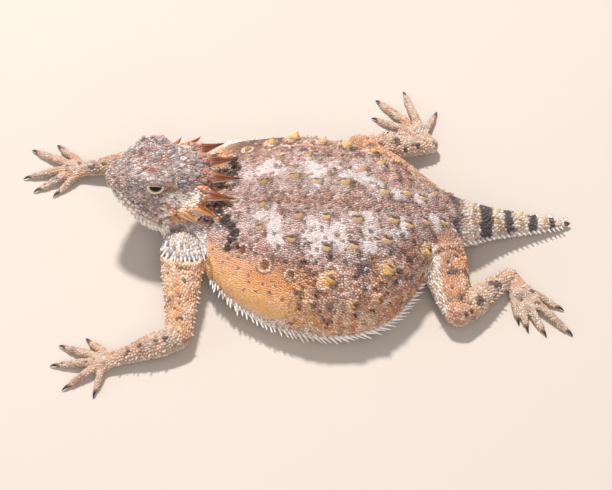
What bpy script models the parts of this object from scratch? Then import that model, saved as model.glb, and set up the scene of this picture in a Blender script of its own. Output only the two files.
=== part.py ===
"""Regal horned lizard, a still life-size model, built from lofted body forms.

Metres, +Z up. The head points to -X, the tail to +X, the animal's left side to -Y.
The floor the animal rests on is z = 0. Lengths below are in millimetres until MM
turns them into metres as each mesh is made.
"""

import math

import bmesh
import bpy
import numpy as np
from mathutils import Matrix, Vector

MM = 0.001
GAP = 0.35  # clearance between neighbouring solids
CENTRE = (-2.69, 3.02)  # middle of the animal's footprint in the drawing's own axes

# ---- driving sizes -------------------------------------------------------------------
HEAD_ORIGIN = (-29.4, 8.5, 9.2)  # underside of the occiput
HEAD_YAW = 10.1  # degrees towards the animal's left
HEAD_PITCH = 12.3  # degrees, snout up
EYE_AT = (16.1, 6.3, 13.7)  # in the head's axes: forward, left, up
EYE_R = 2.65
FRINGE = 2.3  # how far the flank's fringe stands out
TAIL_TIP = (76.0, 6.8, 1.2)


# ---- small mathematics ---------------------------------------------------------------
def smooth(xs, ys, x):
    """Monotone cubic through the stations (xs, ys), read at x."""
    xs, ys, x = (np.asarray(a, float) for a in (xs, ys, x))
    h = np.diff(xs)
    d = np.diff(ys) / h
    m = np.zeros(len(xs))
    m[0], m[-1] = d[0], d[-1]
    for i in range(1, len(xs) - 1):
        if d[i - 1] * d[i] > 0:
            w1, w2 = 2 * h[i] + h[i - 1], h[i] + 2 * h[i - 1]
            m[i] = (w1 + w2) / (w1 / d[i - 1] + w2 / d[i])
    x = np.clip(x, xs[0], xs[-1])
    i = np.clip(np.searchsorted(xs, x, side="right") - 1, 0, len(h) - 1)
    t = (x - xs[i]) / h[i]
    return (
        (1 + 2 * t) * (1 - t) ** 2 * ys[i]
        + t * (1 - t) ** 2 * h[i] * m[i]
        + t * t * (3 - 2 * t) * ys[i + 1]
        + t * t * (t - 1) * h[i] * m[i + 1]
    )


def ring_spline(points, count):
    """A closed Catmull-Rom curve through points, read at count even steps."""
    p = np.asarray(points, float)
    n = len(p)
    t = np.arange(count) * n / count
    i = t.astype(int)
    f = (t - i)[:, None]
    a, b, c, d = p[(i - 1) % n], p[i % n], p[(i + 1) % n], p[(i + 2) % n]
    return 0.5 * (
        2 * b + (c - a) * f + (2 * a - 5 * b + 4 * c - d) * f**2
        + (3 * b - a - 3 * c + d) * f**3
    )


def loft(rings):
    """Closed quad mesh over rings of equal length, each end closed by a fan."""
    rings = np.asarray(rings, float)
    n, m = rings.shape[:2]
    verts = [tuple(v) for v in rings.reshape(-1, 3)]
    faces = []
    for i in range(n - 1):
        for j in range(m):
            k = (j + 1) % m
            faces.append((i * m + j, i * m + k, (i + 1) * m + k, (i + 1) * m + j))
    for end, order in ((0, -1), (n - 1, 1)):
        centre = len(verts)
        verts.append(tuple(rings[end].mean(axis=0)))
        for j in range(m):
            a, b = end * m + j, end * m + (j + 1) % m
            faces.append((a, b, centre) if order > 0 else (b, a, centre))
    return verts, faces


# ---- the forms -----------------------------------------------------------------------
TRUNK_X = [-32, -30, -27, -22, -15, -8, -1.6, 7.7, 17, 25, 31, 35, 40, 44, 47.5]
TRUNK_NEAR = [-9, -13, -17.5, -24.2, -30, -33.8, -36.1, -37.2, -35.2, -29.6, -21, -14, -8.5, -5.8, -4.5]
TRUNK_FAR = [15, 19, 23, 26.0, 27.4, 27.6, 27.2, 25.8, 23.2, 19.6, 15.8, 13, 10.4, 8.6, 7.4]
NEAR_Z = [8, 7.5, 7.0, 6.2, 5.4, 5.2, 5, 5, 5, 5.2, 5.6, 6, 6.4, 6.4, 6.4]
FAR_Z = [11, 12, 13, 13.4, 13, 12.4, 11.8, 11, 10.2, 9.4, 8.8, 8.2, 7.6, 7.2, 6.8]
TOP_X = [-32, -30, -24, -18, -10, -4, 6, 16, 25, 32, 38, 44, 47.5]
TOP_Y = [4.5, 4, 2.6, 0.4, -3.2, -5.2, -6.6, -6.2, -4.6, -2.6, -0.6, 1.0, 1.6]
TOP_Z = [13.6, 15.2, 17.9, 20.4, 24.0, 26.0, 27.0, 26.2, 23.4, 19.6, 16.2, 13.4, 12.2]
BELLY_X = [-32, -28, -20, -8, 20, 32, 40, 47.5]
BELLY_Z = [4.5, 2.6, 0.2, -2.2, -2.4, -0.6, 1.2, 2.6]


def trunk_ring(x, dorsal=17, ventral=8, ledge=True):
    """One cross-section of the trunk: fringe, back, fringe, belly. Flat where it lies."""
    yn, yf = smooth(TRUNK_X, TRUNK_NEAR, x), smooth(TRUNK_X, TRUNK_FAR, x)
    zn, zf = smooth(TRUNK_X, NEAR_Z, x), smooth(TRUNK_X, FAR_Z, x)
    yt, zt = smooth(TOP_X, TOP_Y, x), smooth(TOP_X, TOP_Z, x)
    zb = smooth(BELLY_X, BELLY_Z, x)
    out = []
    a = np.linspace(0, math.pi, dorsal)
    c, s = np.cos(a), np.sin(a)
    reach = np.abs(c) ** 0.92
    rise = np.abs(s) ** 0.86
    near = c > 0
    y = np.where(near, yt + (yn - yt) * reach, yt + (yf - yt) * reach)
    z0 = np.where(near, zn, zf) * np.abs(c) + (zn + zf) / 2 * (1 - np.abs(c))
    z = z0 + (zt - z0) * rise
    back = np.stack([np.full_like(y, x), y, z], 1)
    show = FRINGE * smooth([-27, -22, 28, 34], [0, 1, 1, 0], x) if ledge else 0.0
    for p in back:
        out.append(p)
    out.append(np.array([x, yf + show, zf - 0.7]))
    a = np.linspace(0, math.pi, ventral + 2)[1:-1]
    for t in a:
        side, q = (yf, zf) if t < math.pi / 2 else (yn, zn)
        r = abs(math.cos(t)) ** 0.8
        low = q * abs(math.cos(t)) + (zn + zf) / 2 * (1 - abs(math.cos(t))) - 1.2
        z = low - (low - zb) * abs(math.sin(t)) ** 0.7
        out.append(np.array([x, yt + (side - yt) * r * 0.97, max(z, 0.0)]))
    out.append(np.array([x, yn - show, zn - 0.7]))
    return np.array(out)


def trunk_rings(count=29, **k):
    u = np.linspace(0, 1, count)
    x = -32 + 79.5 * (u + 0.06 * np.sin(2 * math.pi * u))
    return [trunk_ring(v, **k) for v in x]


# Stations along the head's own axis, from the occiput (0) to the snout (27.5).
HEAD_X = [-0.9, 1.0, 4, 9, 13.5, 17.5, 21, 24.2, 26.2, 27.5]
HEAD_SECTION = {
    "top": [(0, v) for v in (12.8, 14.2, 15.6, 16.7, 17.1, 16.5, 15.3, 13.4, 11.9, 10.9)],
    "brow_in": [(3.6, 12.2), (4.8, 13.4), (5.4, 14.6), (5.6, 16.2), (5.9, 17.3), (5.6, 16.9), (4.2, 15.4), (2.8, 13.3), (1.9, 11.8), (1.3, 10.8)],
    "brow": [(5.6, 10.2), (7.1, 11.0), (7.8, 12.4), (8.0, 14.4), (8.7, 16.9), (8.3, 16.9), (6.3, 15.1), (4.1, 12.8), (2.8, 11.2), (1.9, 10.2)],
    "orbit": [(6.9, 8.6), (9.0, 9.2), (10.6, 9.9), (9.9, 11.2), (8.7, 12.8), (8.3, 12.8), (7.2, 12.2), (5.0, 10.9), (3.4, 10.0), (2.3, 9.4)],
    "cheek": [(7.6, 6.8), (10.4, 7.3), (12.6, 7.9), (12.9, 7.8), (12.2, 7.6), (10.8, 7.6), (8.7, 8.1), (6.1, 8.7), (4.1, 8.9), (2.6, 8.7)],
    "jaw": [(6.9, 4.4), (9.4, 4.2), (11.8, 3.8), (12.9, 2.6), (12.7, 1.2), (11.6, 1.7), (9.4, 3.6), (6.5, 5.8), (4.4, 7.0), (2.6, 7.7)],
    "under": [(4.2, 2.8), (6.0, 2.2), (7.6, 1.4), (8.0, 0.3), (7.8, -0.4), (7.0, 0.3), (5.6, 2.3), (3.9, 4.7), (2.6, 6.1), (1.6, 7.0)],
    "chin": [(0, v) for v in (2.6, 1.8, 1.0, 0.2, -0.2, 0.3, 2.0, 4.3, 5.8, 6.8)],
}


def head_axes():
    yaw, pitch = math.radians(HEAD_YAW), math.radians(HEAD_PITCH)
    forward = Vector((-math.cos(yaw) * math.cos(pitch), -math.sin(yaw) * math.cos(pitch), math.sin(pitch)))
    left = Vector((math.sin(yaw), -math.cos(yaw), 0))
    return forward, left, forward.cross(left)


def head_point(p):
    f, l, u = head_axes()
    return Vector(HEAD_ORIGIN) + f * p[0] + l * p[1] + u * p[2]


def head_section(x, count):
    half = [
        (smooth(HEAD_X, [p[0] for p in s], x), smooth(HEAD_X, [p[1] for p in s], x))
        for s in HEAD_SECTION.values()
    ]
    ring = half + [(-y, z) for y, z in half[-2:0:-1]]
    return ring_spline(ring, count)


def head_rings(stations=16, count=24):
    u = np.linspace(0, 1, stations)
    xs = HEAD_X[0] + (HEAD_X[-1] - HEAD_X[0]) * (u + 0.10 * np.sin(math.pi * u) * u)
    rings = []
    for x in xs:
        rings.append([head_point((x, y, z)) for y, z in head_section(x, count)])
    # the snout closes in two shrinking rings
    last = np.array(rings[-1])
    mid = last.mean(axis=0)
    f = np.array(head_axes()[0])
    rings.append(mid + (last - mid) * 0.72 + f * 0.6)
    rings.append(mid + (last - mid) * 0.34 + f * 0.85)
    return [np.array(r) for r in rings]


NECK = [  # x, y, z, half-width, half-height
    (-17.0, 0.5, 12.5, 9.0, 6.5),
    (-21.0, 1.8, 12.6, 10.8, 6.8),
    (-26.0, 3.9, 11.6, 12.4, 7.8),
    (-31.0, 4.6, 9.8, 13.0, 8.2),
    (-36.0, 4.6, 9.2, 11.8, 6.8),
    (-40.0, 4.6, 9.6, 8.8, 4.8),
    (-42.4, 4.6, 10.2, 4.6, 2.4),
]
TAIL = [
    (38.0, 0.0, 8.6, 8.6, 6.6),
    (43.0, 0.9, 8.2, 7.6, 5.9),
    (47.5, 1.8, 7.0, 6.4, 5.2),
    (52.0, 2.9, 5.6, 5.1, 4.4),
    (58.0, 4.2, 4.0, 4.0, 3.6),
    (64.0, 5.2, 2.8, 3.1, 2.7),
    (70.0, 6.1, 1.9, 2.1, 1.9),
    (74.0, 6.6, 1.35, 1.2, 1.2),
]


def sweep_x(stations, steps, sides, tip=None, floor=True):
    """Ellipse sections along X through stations of centre, half-width and half-height."""
    s = np.array(stations, float)
    key = s[:, 0] if s[-1, 0] > s[0, 0] else -s[:, 0]
    rings = []
    for t in np.linspace(key[0], key[-1], steps):
        x, y, z, w, h = (smooth(key, s[:, i], t) for i in range(5))
        a = np.linspace(0, 2 * math.pi, sides, endpoint=False)
        ring = np.stack([np.full(sides, x), y + w * np.cos(a), z + h * np.sin(a)], 1)
        if floor:
            ring[:, 2] = np.maximum(ring[:, 2], 0.0)
        rings.append(ring)
    if tip is not None:
        last = rings[-1]
        mid = last.mean(axis=0)
        rings.append(mid + (last - mid) * 0.25 + (np.array(tip) - mid) * 0.9)
    return rings


# Each limb: its joints from the body outwards, and (share of length, radius) along it.
UPPER = {
    "arm_L": ((-33.6, -9.5, 9.8), (-33.8, -36.2, 5.0)),
    "arm_R": ((-24.0, 15.5, 13.0), (-43.2, 26.6, 6.8)),
    "leg_L": ((35.5, -3.5, 9.0), (41.0, -28.6, 5.4)),
    "leg_R": ((32.5, 6.5, 9.6), (14.6, 29.8, 8.2)),
}
LOWER = {
    "arm_L": ((-33.8, -36.2, 4.8), (-50.4, -41.6, 2.7)),
    "arm_R": ((-43.2, 26.6, 6.8), (-62.2, 26.0, 3.2)),
    "leg_L": ((41.0, -28.6, 5.0), (56.0, -13.4, 3.1)),
    "leg_R": ((14.6, 29.8, 7.8), (36.2, 34.4, 3.6)),
}
UPPER_R = {"arm": [(0, 6.4), (0.35, 5.7), (0.7, 4.6), (1, 3.7)], "leg": [(0, 7.2), (0.4, 6.7), (0.75, 5.4), (1, 4.2)]}
LOWER_R = {"arm": [(0, 3.5), (0.3, 3.9), (0.7, 3.1), (1, 2.4)], "leg": [(0, 4.1), (0.3, 4.4), (0.7, 3.3), (1, 2.6)]}
# Feet: wrist or ankle, middle of the palm, half-width of the palm, then each toe's root and tip.
FEET = {
    "arm_L": {
        "from": (-50.0, -41.6, 2.7), "palm": (-54.6, -42.4, 1.9), "wide": 3.4,
        "toes": [((-53.6, -39.8), (-57.6, -35.4), 1.15), ((-56.4, -40.6), (-64.0, -37.0), 1.15), ((-57.4, -42.6), (-65.6, -42.6), 1.15), ((-56.6, -44.6), (-62.4, -49.0), 1.1), ((-54.4, -45.2), (-55.6, -50.4), 1.05)],
    },
    "arm_R": {
        "from": (-61.8, 26.0, 3.2), "palm": (-66.6, 26.6, 2.0), "wide": 3.6,
        "toes": [((-65.2, 29.2), (-70.6, 35.4), 1.15), ((-68.4, 28.8), (-77.2, 34.0), 1.15), ((-69.6, 26.6), (-78.4, 24.9), 1.15), ((-68.6, 24.6), (-75.4, 20.6), 1.15), ((-66.2, 23.6), (-70.2, 19.4), 1.05)],
    },
    "leg_L": {
        "from": (56.0, -13.6, 3.1), "palm": (59.0, -19.4, 2.3), "wide": 3.4,
        "toes": [((56.8, -21.0), (57.4, -26.0), 1.05), ((58.4, -22.2), (59.6, -28.6), 1.15), ((60.2, -22.4), (63.8, -30.2), 1.2), ((61.6, -21.2), (70.2, -30.4), 1.2), ((61.8, -18.8), (68.0, -22.4), 1.05)],
    },
    "leg_R": {
        "from": (36.2, 34.6, 3.5), "palm": (32.4, 40.0, 2.4), "wide": 3.4,
        "toes": [((30.0, 39.6), (25.0, 41.4), 1.05), ((29.8, 41.6), (21.6, 46.8), 1.15), ((31.2, 43.0), (22.4, 53.4), 1.2), ((33.0, 43.4), (29.6, 56.4), 1.2), ((34.8, 41.6), (37.6, 48.2), 1.05)],
    },
}


def tube(path, radii, sides, flat=1.0, up=(0, 0, 1), round_ends=True):
    """A tube along path. radii per point; flat squeezes it along up."""
    path = [Vector(p) for p in path]
    rings = []
    for i, p in enumerate(path):
        d = path[min(i + 1, len(path) - 1)] - path[max(i - 1, 0)]
        d.normalize()
        side = d.cross(Vector(up)).normalized()
        top = side.cross(d).normalized()
        ring = []
        for j in range(sides):
            a = 2 * math.pi * j / sides
            ring.append(p + side * (math.cos(a) * radii[i]) + top * (math.sin(a) * radii[i] * flat))
        rings.append(np.array(ring))
    if round_ends:
        for end, step in ((0, -1), (-1, 1)):
            p, r = path[end], radii[end]
            d = path[0] - path[1] if end == 0 else path[-1] - path[-2]
            d = np.array(d.normalized())
            base = rings[end]
            mid = base.mean(axis=0)
            extra = [mid + (base - mid) * 0.8 + d * r * 0.55 * flat, mid + (base - mid) * 0.35 + d * r * 0.85 * flat]
            rings = extra[::-1] + rings if end == 0 else rings + extra
    return rings


def limb_rings(ends, profile, steps=6, sides=11, bend=0.0):
    a, b = Vector(ends[0]), Vector(ends[1])
    t = np.linspace(0, 1, steps)
    xs, rs = zip(*profile)
    path = [a.lerp(b, v) + Vector((0, 0, bend * math.sin(math.pi * v))) for v in t]
    return tube(path, [float(smooth(xs, rs, v)) for v in t], sides, 0.92)


def palm_rings(foot, sides=10, steps=4):
    a, b = Vector(foot["from"]), Vector(foot["palm"])
    d = (b - a).normalized()
    end = b + d * 2.0
    end.z = 1.5
    path = [a, a.lerp(b, 0.5), b, end]
    t = np.linspace(0, 3, steps)
    pts = [path[min(int(v), 2)].lerp(path[min(int(v), 2) + 1], v - min(int(v), 2)) for v in t]
    wide = [float(smooth([0, 1, 2, 3], [2.5, 2.7, foot["wide"], foot["wide"] * 0.8], v)) for v in t]
    return tube(pts, wide, sides, 0.66)


CLAW = ((-0.1, 0.8, 0.56), (0.9, 1.0, 0.44), (1.7, 0.75, 0.3), (2.4, 0.3, 0.12))  # along, height, radius


def toe_path(toe, steps=4):
    """From inside the palm, over a low knuckle, down to the pad, and on along the claw."""
    (x0, y0), (x1, y1), r = toe
    root, tip = Vector((x0, y0, 1.9)), Vector((x1, y1, 0.75))
    ahead = (tip - root).normalized()
    back = root - ahead * 1.6
    ahead.z = 0
    path, radii = [], []
    for v in np.linspace(0, 1, steps):
        p = back.lerp(tip, v)
        p.z = float(smooth([0, 0.35, 0.7, 1], [1.9, 2.0, 1.3, 0.85], v))
        path.append(p)
        radii.append(r * float(smooth([0, 0.5, 0.8, 1], [1.12, 1.0, 0.92, 0.8], v)))
    for along, height, radius in CLAW:
        path.append(Vector((x1, y1, height)) + ahead * (along + 0.4))
        radii.append(radius)
    return path, radii


# The crown, in the head's axes on the left side: root, tip, width and height at the root.
HORNS = {
    "occipital_inner": ((1.2, 3.0, 13.0), (-9.3, 3.7, 13.1), 2.3, 1.8),
    "occipital_outer": ((2.4, 8.2, 11.6), (-6.6, 10.7, 12.2), 2.3, 1.8),
    "temporal_rear": ((4.9, 10.3, 9.3), (-0.7, 15.4, 9.8), 2.35, 1.65),
    "temporal_mid": ((8.3, 11.4, 7.9), (4.45, 16.5, 8.3), 1.7, 1.3),
    "temporal_front": ((11.2, 11.2, 6.7), (8.4, 14.7, 6.6), 1.45, 1.1),
}


def horn_rings(spec, side, sides=8, steps=5, grow=0.0, sink=0.0):
    """A flattened, slightly upcurved cone. side is 1 for the animal's left, -1 for its right."""
    root, tip, wide, high = spec
    a = np.array([root[0], root[1] * side, root[2]])
    b = np.array([tip[0], tip[1] * side, tip[2]])
    d = (b - a) / np.linalg.norm(b - a)
    length = np.linalg.norm(b - a)
    up = np.array([0, 0, 1.0])
    across = np.cross(d, up)
    across /= np.linalg.norm(across)
    top = np.cross(across, d)
    rings = []
    for i in range(steps):
        t = i / (steps - 1)
        s = (1 - t) ** 1.05 * 0.94 + 0.06
        lift = 0.09 * length * (t * t - t * 0.8)
        c = a + d * (length * t - (sink if i == 0 else 0) + (grow if i == steps - 1 else 0)) + top * lift
        ring = []
        for j in range(sides):
            q = 2 * math.pi * j / sides
            ring.append(head_point(c + across * math.cos(q) * (wide * s + grow) + top * math.sin(q) * (high * s + grow)))
        rings.append(np.array(ring))
    return rings


# ---- building ------------------------------------------------------------------------
for old in list(bpy.data.objects):
    bpy.data.objects.remove(old, do_unlink=True)


def collection(name):
    c = bpy.data.collections.new(name)
    bpy.context.scene.collection.children.link(c)
    return c


ANIMAL, CUTTERS = collection("horned_lizard"), collection("cutters")
CUTTERS.hide_render = True


def material(name, colour, rough):
    m = bpy.data.materials.new(name)
    m.use_nodes = True
    b = m.node_tree.nodes["Principled BSDF"]
    b.inputs["Base Color"].default_value = (*colour, 1)
    b.inputs["Roughness"].default_value = rough
    b.inputs["Metallic"].default_value = 0.0
    return m


SKIN_BACK = material("skin_back", (0.44, 0.33, 0.27), 0.8)
SKIN_HEAD = material("skin_head", (0.42, 0.33, 0.29), 0.8)
SKIN_LIMB = material("skin_limb", (0.55, 0.36, 0.22), 0.8)
HORN = material("horn", (0.36, 0.12, 0.05), 0.45)
EYE = material("eye", (0.01, 0.008, 0.006), 0.08)


def make(name, rings, mat=None, cutter=False):
    verts, faces = loft(rings)
    me = bpy.data.meshes.new(name)
    me.from_pydata([((x - CENTRE[0]) * MM, (y - CENTRE[1]) * MM, z * MM) for x, y, z in verts], [], faces)
    bm = bmesh.new()
    bm.from_mesh(me)
    bmesh.ops.remove_doubles(bm, verts=bm.verts, dist=1e-6)
    bmesh.ops.triangulate(bm, faces=[f for f in bm.faces if len(f.verts) > 3])
    bmesh.ops.recalc_face_normals(bm, faces=bm.faces)
    if bm.calc_volume(signed=True) < 0:
        bmesh.ops.reverse_faces(bm, faces=bm.faces)
    bm.to_mesh(me)
    bm.free()
    ob = bpy.data.objects.new(name, me)
    (CUTTERS if cutter else ANIMAL).objects.link(ob)
    if cutter:
        ob.hide_render = True
        ob.display_type = "WIRE"
    if mat:
        me.materials.append(mat)
    return ob


def grown(ob, by=GAP):
    """A cutter: the same form pushed out along its normals."""
    me = ob.data.copy()
    bm = bmesh.new()
    bm.from_mesh(me)
    bm.normal_update()
    moved = [(v, v.co + v.normal * by * MM) for v in bm.verts]
    for v, co in moved:
        v.co = co
    bm.to_mesh(me)
    bm.free()
    c = bpy.data.objects.new("cut_" + ob.name, me)
    CUTTERS.objects.link(c)
    c.hide_render = True
    c.display_type = "WIRE"
    return c


def combine(ob, other, operation):
    m = ob.modifiers.new(operation.lower(), "BOOLEAN")
    m.operation, m.object, m.solver = operation, other, "EXACT"
    settle(ob)


def settle(ob):
    """Applies the modifiers of ob to its mesh."""
    dg = bpy.context.evaluated_depsgraph_get()
    dg.update()
    me = bpy.data.meshes.new_from_object(ob.evaluated_get(dg))
    ob.modifiers.clear()
    ob.data = me


def islands(bm):
    left, found = set(bm.verts), []
    while left:
        seed = left.pop()
        stack, group = [seed], {seed}
        while stack:
            for e in stack.pop().link_edges:
                for v in e.verts:
                    if v in left:
                        left.discard(v)
                        group.add(v)
                        stack.append(v)
        found.append(group)
    return found


def keep_island(ob, rank=0):
    """Keeps the loose piece of that rank by size, and welds what lies within two microns."""
    bm = bmesh.new()
    bm.from_mesh(ob.data)
    bmesh.ops.remove_doubles(bm, verts=bm.verts, dist=2e-6)
    groups = sorted(islands(bm), key=spread, reverse=True)
    for g in groups[:rank] + groups[rank + 1 :]:
        bmesh.ops.delete(bm, geom=list(g), context="VERTS")
    bmesh.ops.triangulate(bm, faces=bm.faces)
    bm.to_mesh(ob.data)
    bm.free()


def spread(group):
    """Size of a loose piece: the sum of its box's three sides."""
    return sum(max(v.co[i] for v in group) - min(v.co[i] for v in group) for i in range(3))


def thin(ob, share):
    """Collapses the slivers along a cut until share of the faces is left."""
    m = ob.modifiers.new("thin", "DECIMATE")
    m.decimate_type, m.ratio = "COLLAPSE", share
    settle(ob)


def carve(ob, cutters, share=0.72):
    for c in cutters:
        combine(ob, c, "DIFFERENCE")
    keep_island(ob)
    thin(ob, share)


def block(name, low, high):
    """A box cutter between two corners, in the drawing's millimetres."""
    bpy.ops.mesh.primitive_cube_add(size=1)
    ob = bpy.context.object
    ob.name = name
    for c in list(ob.users_collection):
        c.objects.unlink(ob)
    CUTTERS.objects.link(ob)
    lo, hi = Vector(low), Vector(high)
    mid = (lo + hi) / 2 - Vector((CENTRE[0], CENTRE[1], 0))
    ob.data.transform(Matrix.Translation(mid * MM) @ Matrix.Diagonal(((hi - lo) * MM).to_4d()))
    ob.hide_render = True
    ob.display_type = "WIRE"
    return ob


floor = block("below_floor", (-120, -90, -30), (120, 90, 0))

# Head, with the sockets of the horns and eyes, and the mouth.
head = make("head", head_rings(), SKIN_HEAD)
horns, sockets = [], []
for side, tag in ((1, "L"), (-1, "R")):
    for name, spec in HORNS.items():
        horns.append(make(f"horn_{name}_{tag}", horn_rings(spec, side), HORN))
        sockets.append(make(f"cut_horn_{name}_{tag}", horn_rings(spec, side, grow=GAP, sink=GAP), cutter=True))


def ball(name, at, r, mat=None, segments=14, rings=9):
    bpy.ops.mesh.primitive_uv_sphere_add(segments=segments, ring_count=rings, radius=r * MM)
    ob = bpy.context.object
    ob.name = name
    for c in list(ob.users_collection):
        c.objects.unlink(ob)
    (ANIMAL if mat else CUTTERS).objects.link(ob)
    turn = head_axes()[1].to_track_quat("Z", "Y").to_matrix().to_4x4()
    p = head_point(at) - Vector((CENTRE[0], CENTRE[1], 0))
    ob.data.transform(Matrix.Translation(p * MM) @ turn)
    if mat:
        ob.data.materials.append(mat)
    else:
        ob.hide_render = True
        ob.display_type = "WIRE"
    return ob


eyes = []
for side, tag in ((1, "L"), (-1, "R")):
    at = (EYE_AT[0], EYE_AT[1] * side, EYE_AT[2])
    lid = ball(f"lid_{tag}", (at[0], at[1] - 0.15 * side, at[2]), EYE_R + 0.75)
    combine(head, lid, "UNION")
    eyes.append(ball(f"eye_{tag}", at, EYE_R, EYE))
    sockets.append(ball(f"cut_eye_{tag}", at, EYE_R + GAP))
    # the opening between the lids: an oval bore looking out sideways
    rings = []
    for y in (4.0, 14.0):
        ring = []
        for j in range(14):
            a = 2 * math.pi * j / 14
            ring.append(head_point((at[0] + 1.9 * math.cos(a), y * side, at[2] - 0.1 + 1.4 * math.sin(a))))
        rings.append(np.array(ring))
    sockets.append(make(f"cut_lids_{tag}", rings, cutter=True))
for s in sockets:
    combine(head, s, "DIFFERENCE")
keep_island(head)

# The mouth: a thin curved cut back to the corner of the jaws, then down to the throat.
MOUTH = [(32, 9.2), (28, 8.5), (26, 7.9), (23, 6.6), (19, 5.2), (15, 4.6), (12.4, 4.4), (11.0, 3.4), (10.2, 1.0), (9.6, -6)]


def mouth_cut():
    line = [Vector((x, 0, z)) for x, z in MOUTH]
    rings = []
    for i, p in enumerate(line):
        d = (line[min(i + 1, len(line) - 1)] - line[max(i - 1, 0)]).normalized()
        n = Vector((-d.z, 0, d.x)) * (GAP / 2 + 0.02)
        rings.append(np.array([head_point(p + n + Vector((0, y, 0))) for y in (-20, 20)] + [head_point(p - n + Vector((0, y, 0))) for y in (20, -20)]))
    return make("cut_mouth", rings, cutter=True)


combine(head, mouth_cut(), "DIFFERENCE")
jaw = bpy.data.objects.new("lower_jaw", head.data.copy())
ANIMAL.objects.link(jaw)
keep_island(head, 0)
keep_island(jaw, 1)
thin(head, 0.76)
thin(jaw, 0.74)

head_cut = grown(make("head_envelope", head_rings(), cutter=True))
horn_cuts = [s for s in sockets if "horn_occipital" in s.name or "horn_temporal_rear" in s.name]

trunk = make("trunk", trunk_rings(), SKIN_BACK)
trunk_cut = grown(trunk)
carve(trunk, [head_cut] + horn_cuts, 0.9)

neck = make("neck", sweep_x(NECK, 11, 18), SKIN_BACK)
neck_cut = grown(neck)
carve(neck, [head_cut, trunk_cut] + horn_cuts)

tail = make("tail", sweep_x(TAIL, 14, 14, tip=TAIL_TIP), SKIN_BACK)
tail_cut = grown(tail)
carve(tail, [trunk_cut])

for limb in UPPER:
    kind, tag = limb.split("_")
    high, low, foot = {"arm": ("upper_arm", "forearm", "hand"), "leg": ("thigh", "shank", "foot")}[kind]
    upper = make(f"{high}_{tag}", limb_rings(UPPER[limb], UPPER_R[kind]), SKIN_LIMB)
    upper_cut = grown(upper)
    cuts = [trunk_cut, neck_cut, head_cut] if kind == "arm" else [trunk_cut, tail_cut]
    carve(upper, cuts + [floor])
    lower = make(f"{low}_{tag}", limb_rings(LOWER[limb], LOWER_R[kind]), SKIN_LIMB)
    lower_cut = grown(lower)
    carve(lower, [upper_cut, trunk_cut, floor] + ([neck_cut, head_cut] if kind == "arm" else [tail_cut]))
    spec = FEET[limb]
    hand = make(f"{foot}_{tag}", palm_rings(spec), SKIN_LIMB)
    for n, toe in enumerate(spec["toes"]):
        path, radii = toe_path(toe)
        combine(hand, make(f"toe_{limb}_{n}", tube(path, radii, 6, round_ends=False), cutter=True), "UNION")
    carve(hand, [lower_cut, upper_cut, trunk_cut, floor], 0.62)

for ob in ANIMAL.objects:
    ob.data.shade_smooth()
    ob.data.set_sharp_from_angle(angle=math.radians(50))
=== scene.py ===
"""Looks of the regal horned lizard: one skin, solid scales over it, horns, eyes and claws.

Lengths are in millimetres in the drawing's own axes until `metres` turns them into the
frame's. Nothing is read from disk but the frame. All randomness is seeded.
"""

import math

import bpy
import numpy as np
from mathutils import Matrix, Vector, kdtree
from mathutils.bvhtree import BVHTree


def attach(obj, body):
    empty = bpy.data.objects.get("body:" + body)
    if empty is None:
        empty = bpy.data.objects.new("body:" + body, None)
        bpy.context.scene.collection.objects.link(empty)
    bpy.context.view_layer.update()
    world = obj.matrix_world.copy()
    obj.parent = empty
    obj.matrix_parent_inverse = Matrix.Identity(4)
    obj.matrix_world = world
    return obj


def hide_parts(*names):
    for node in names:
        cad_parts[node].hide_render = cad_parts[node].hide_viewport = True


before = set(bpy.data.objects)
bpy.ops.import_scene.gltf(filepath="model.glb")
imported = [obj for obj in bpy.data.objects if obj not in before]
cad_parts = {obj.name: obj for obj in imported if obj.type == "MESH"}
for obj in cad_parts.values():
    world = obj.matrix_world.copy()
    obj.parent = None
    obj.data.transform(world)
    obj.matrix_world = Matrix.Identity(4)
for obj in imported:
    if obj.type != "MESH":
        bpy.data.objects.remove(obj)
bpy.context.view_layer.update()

CENTRE = np.array([-2.69, 3.02, 0.0])
rng = np.random.default_rng(11)


def metres(p):
    return (np.asarray(p, float) - CENTRE) * 0.001


# ---- small mathematics ---------------------------------------------------------------
def smooth(xs, ys, x):
    """Monotone cubic through the stations (xs, ys), read at x."""
    xs, ys, x = (np.asarray(a, float) for a in (xs, ys, x))
    h = np.diff(xs)
    d = np.diff(ys) / h
    m = np.zeros(len(xs))
    m[0], m[-1] = d[0], d[-1]
    for i in range(1, len(xs) - 1):
        if d[i - 1] * d[i] > 0:
            w1, w2 = 2 * h[i] + h[i - 1], h[i] + 2 * h[i - 1]
            m[i] = (w1 + w2) / (w1 / d[i - 1] + w2 / d[i])
    x = np.clip(x, xs[0], xs[-1])
    i = np.clip(np.searchsorted(xs, x, side="right") - 1, 0, len(h) - 1)
    t = (x - xs[i]) / h[i]
    return (
        (1 + 2 * t) * (1 - t) ** 2 * ys[i]
        + t * (1 - t) ** 2 * h[i] * m[i]
        + t * t * (3 - 2 * t) * ys[i + 1]
        + t * t * (t - 1) * h[i] * m[i + 1]
    )


def step(a, b, x):
    """0 below a, 1 above b, smooth between; a may be above b."""
    t = np.clip((np.asarray(x, float) - a) / (b - a), 0, 1)
    return t * t * (3 - 2 * t)


def unit(v):
    return v / np.maximum(np.linalg.norm(v, axis=-1, keepdims=True), 1e-9)


def dot(a, b):
    return np.einsum("...i,...i->...", a, b)


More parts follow.
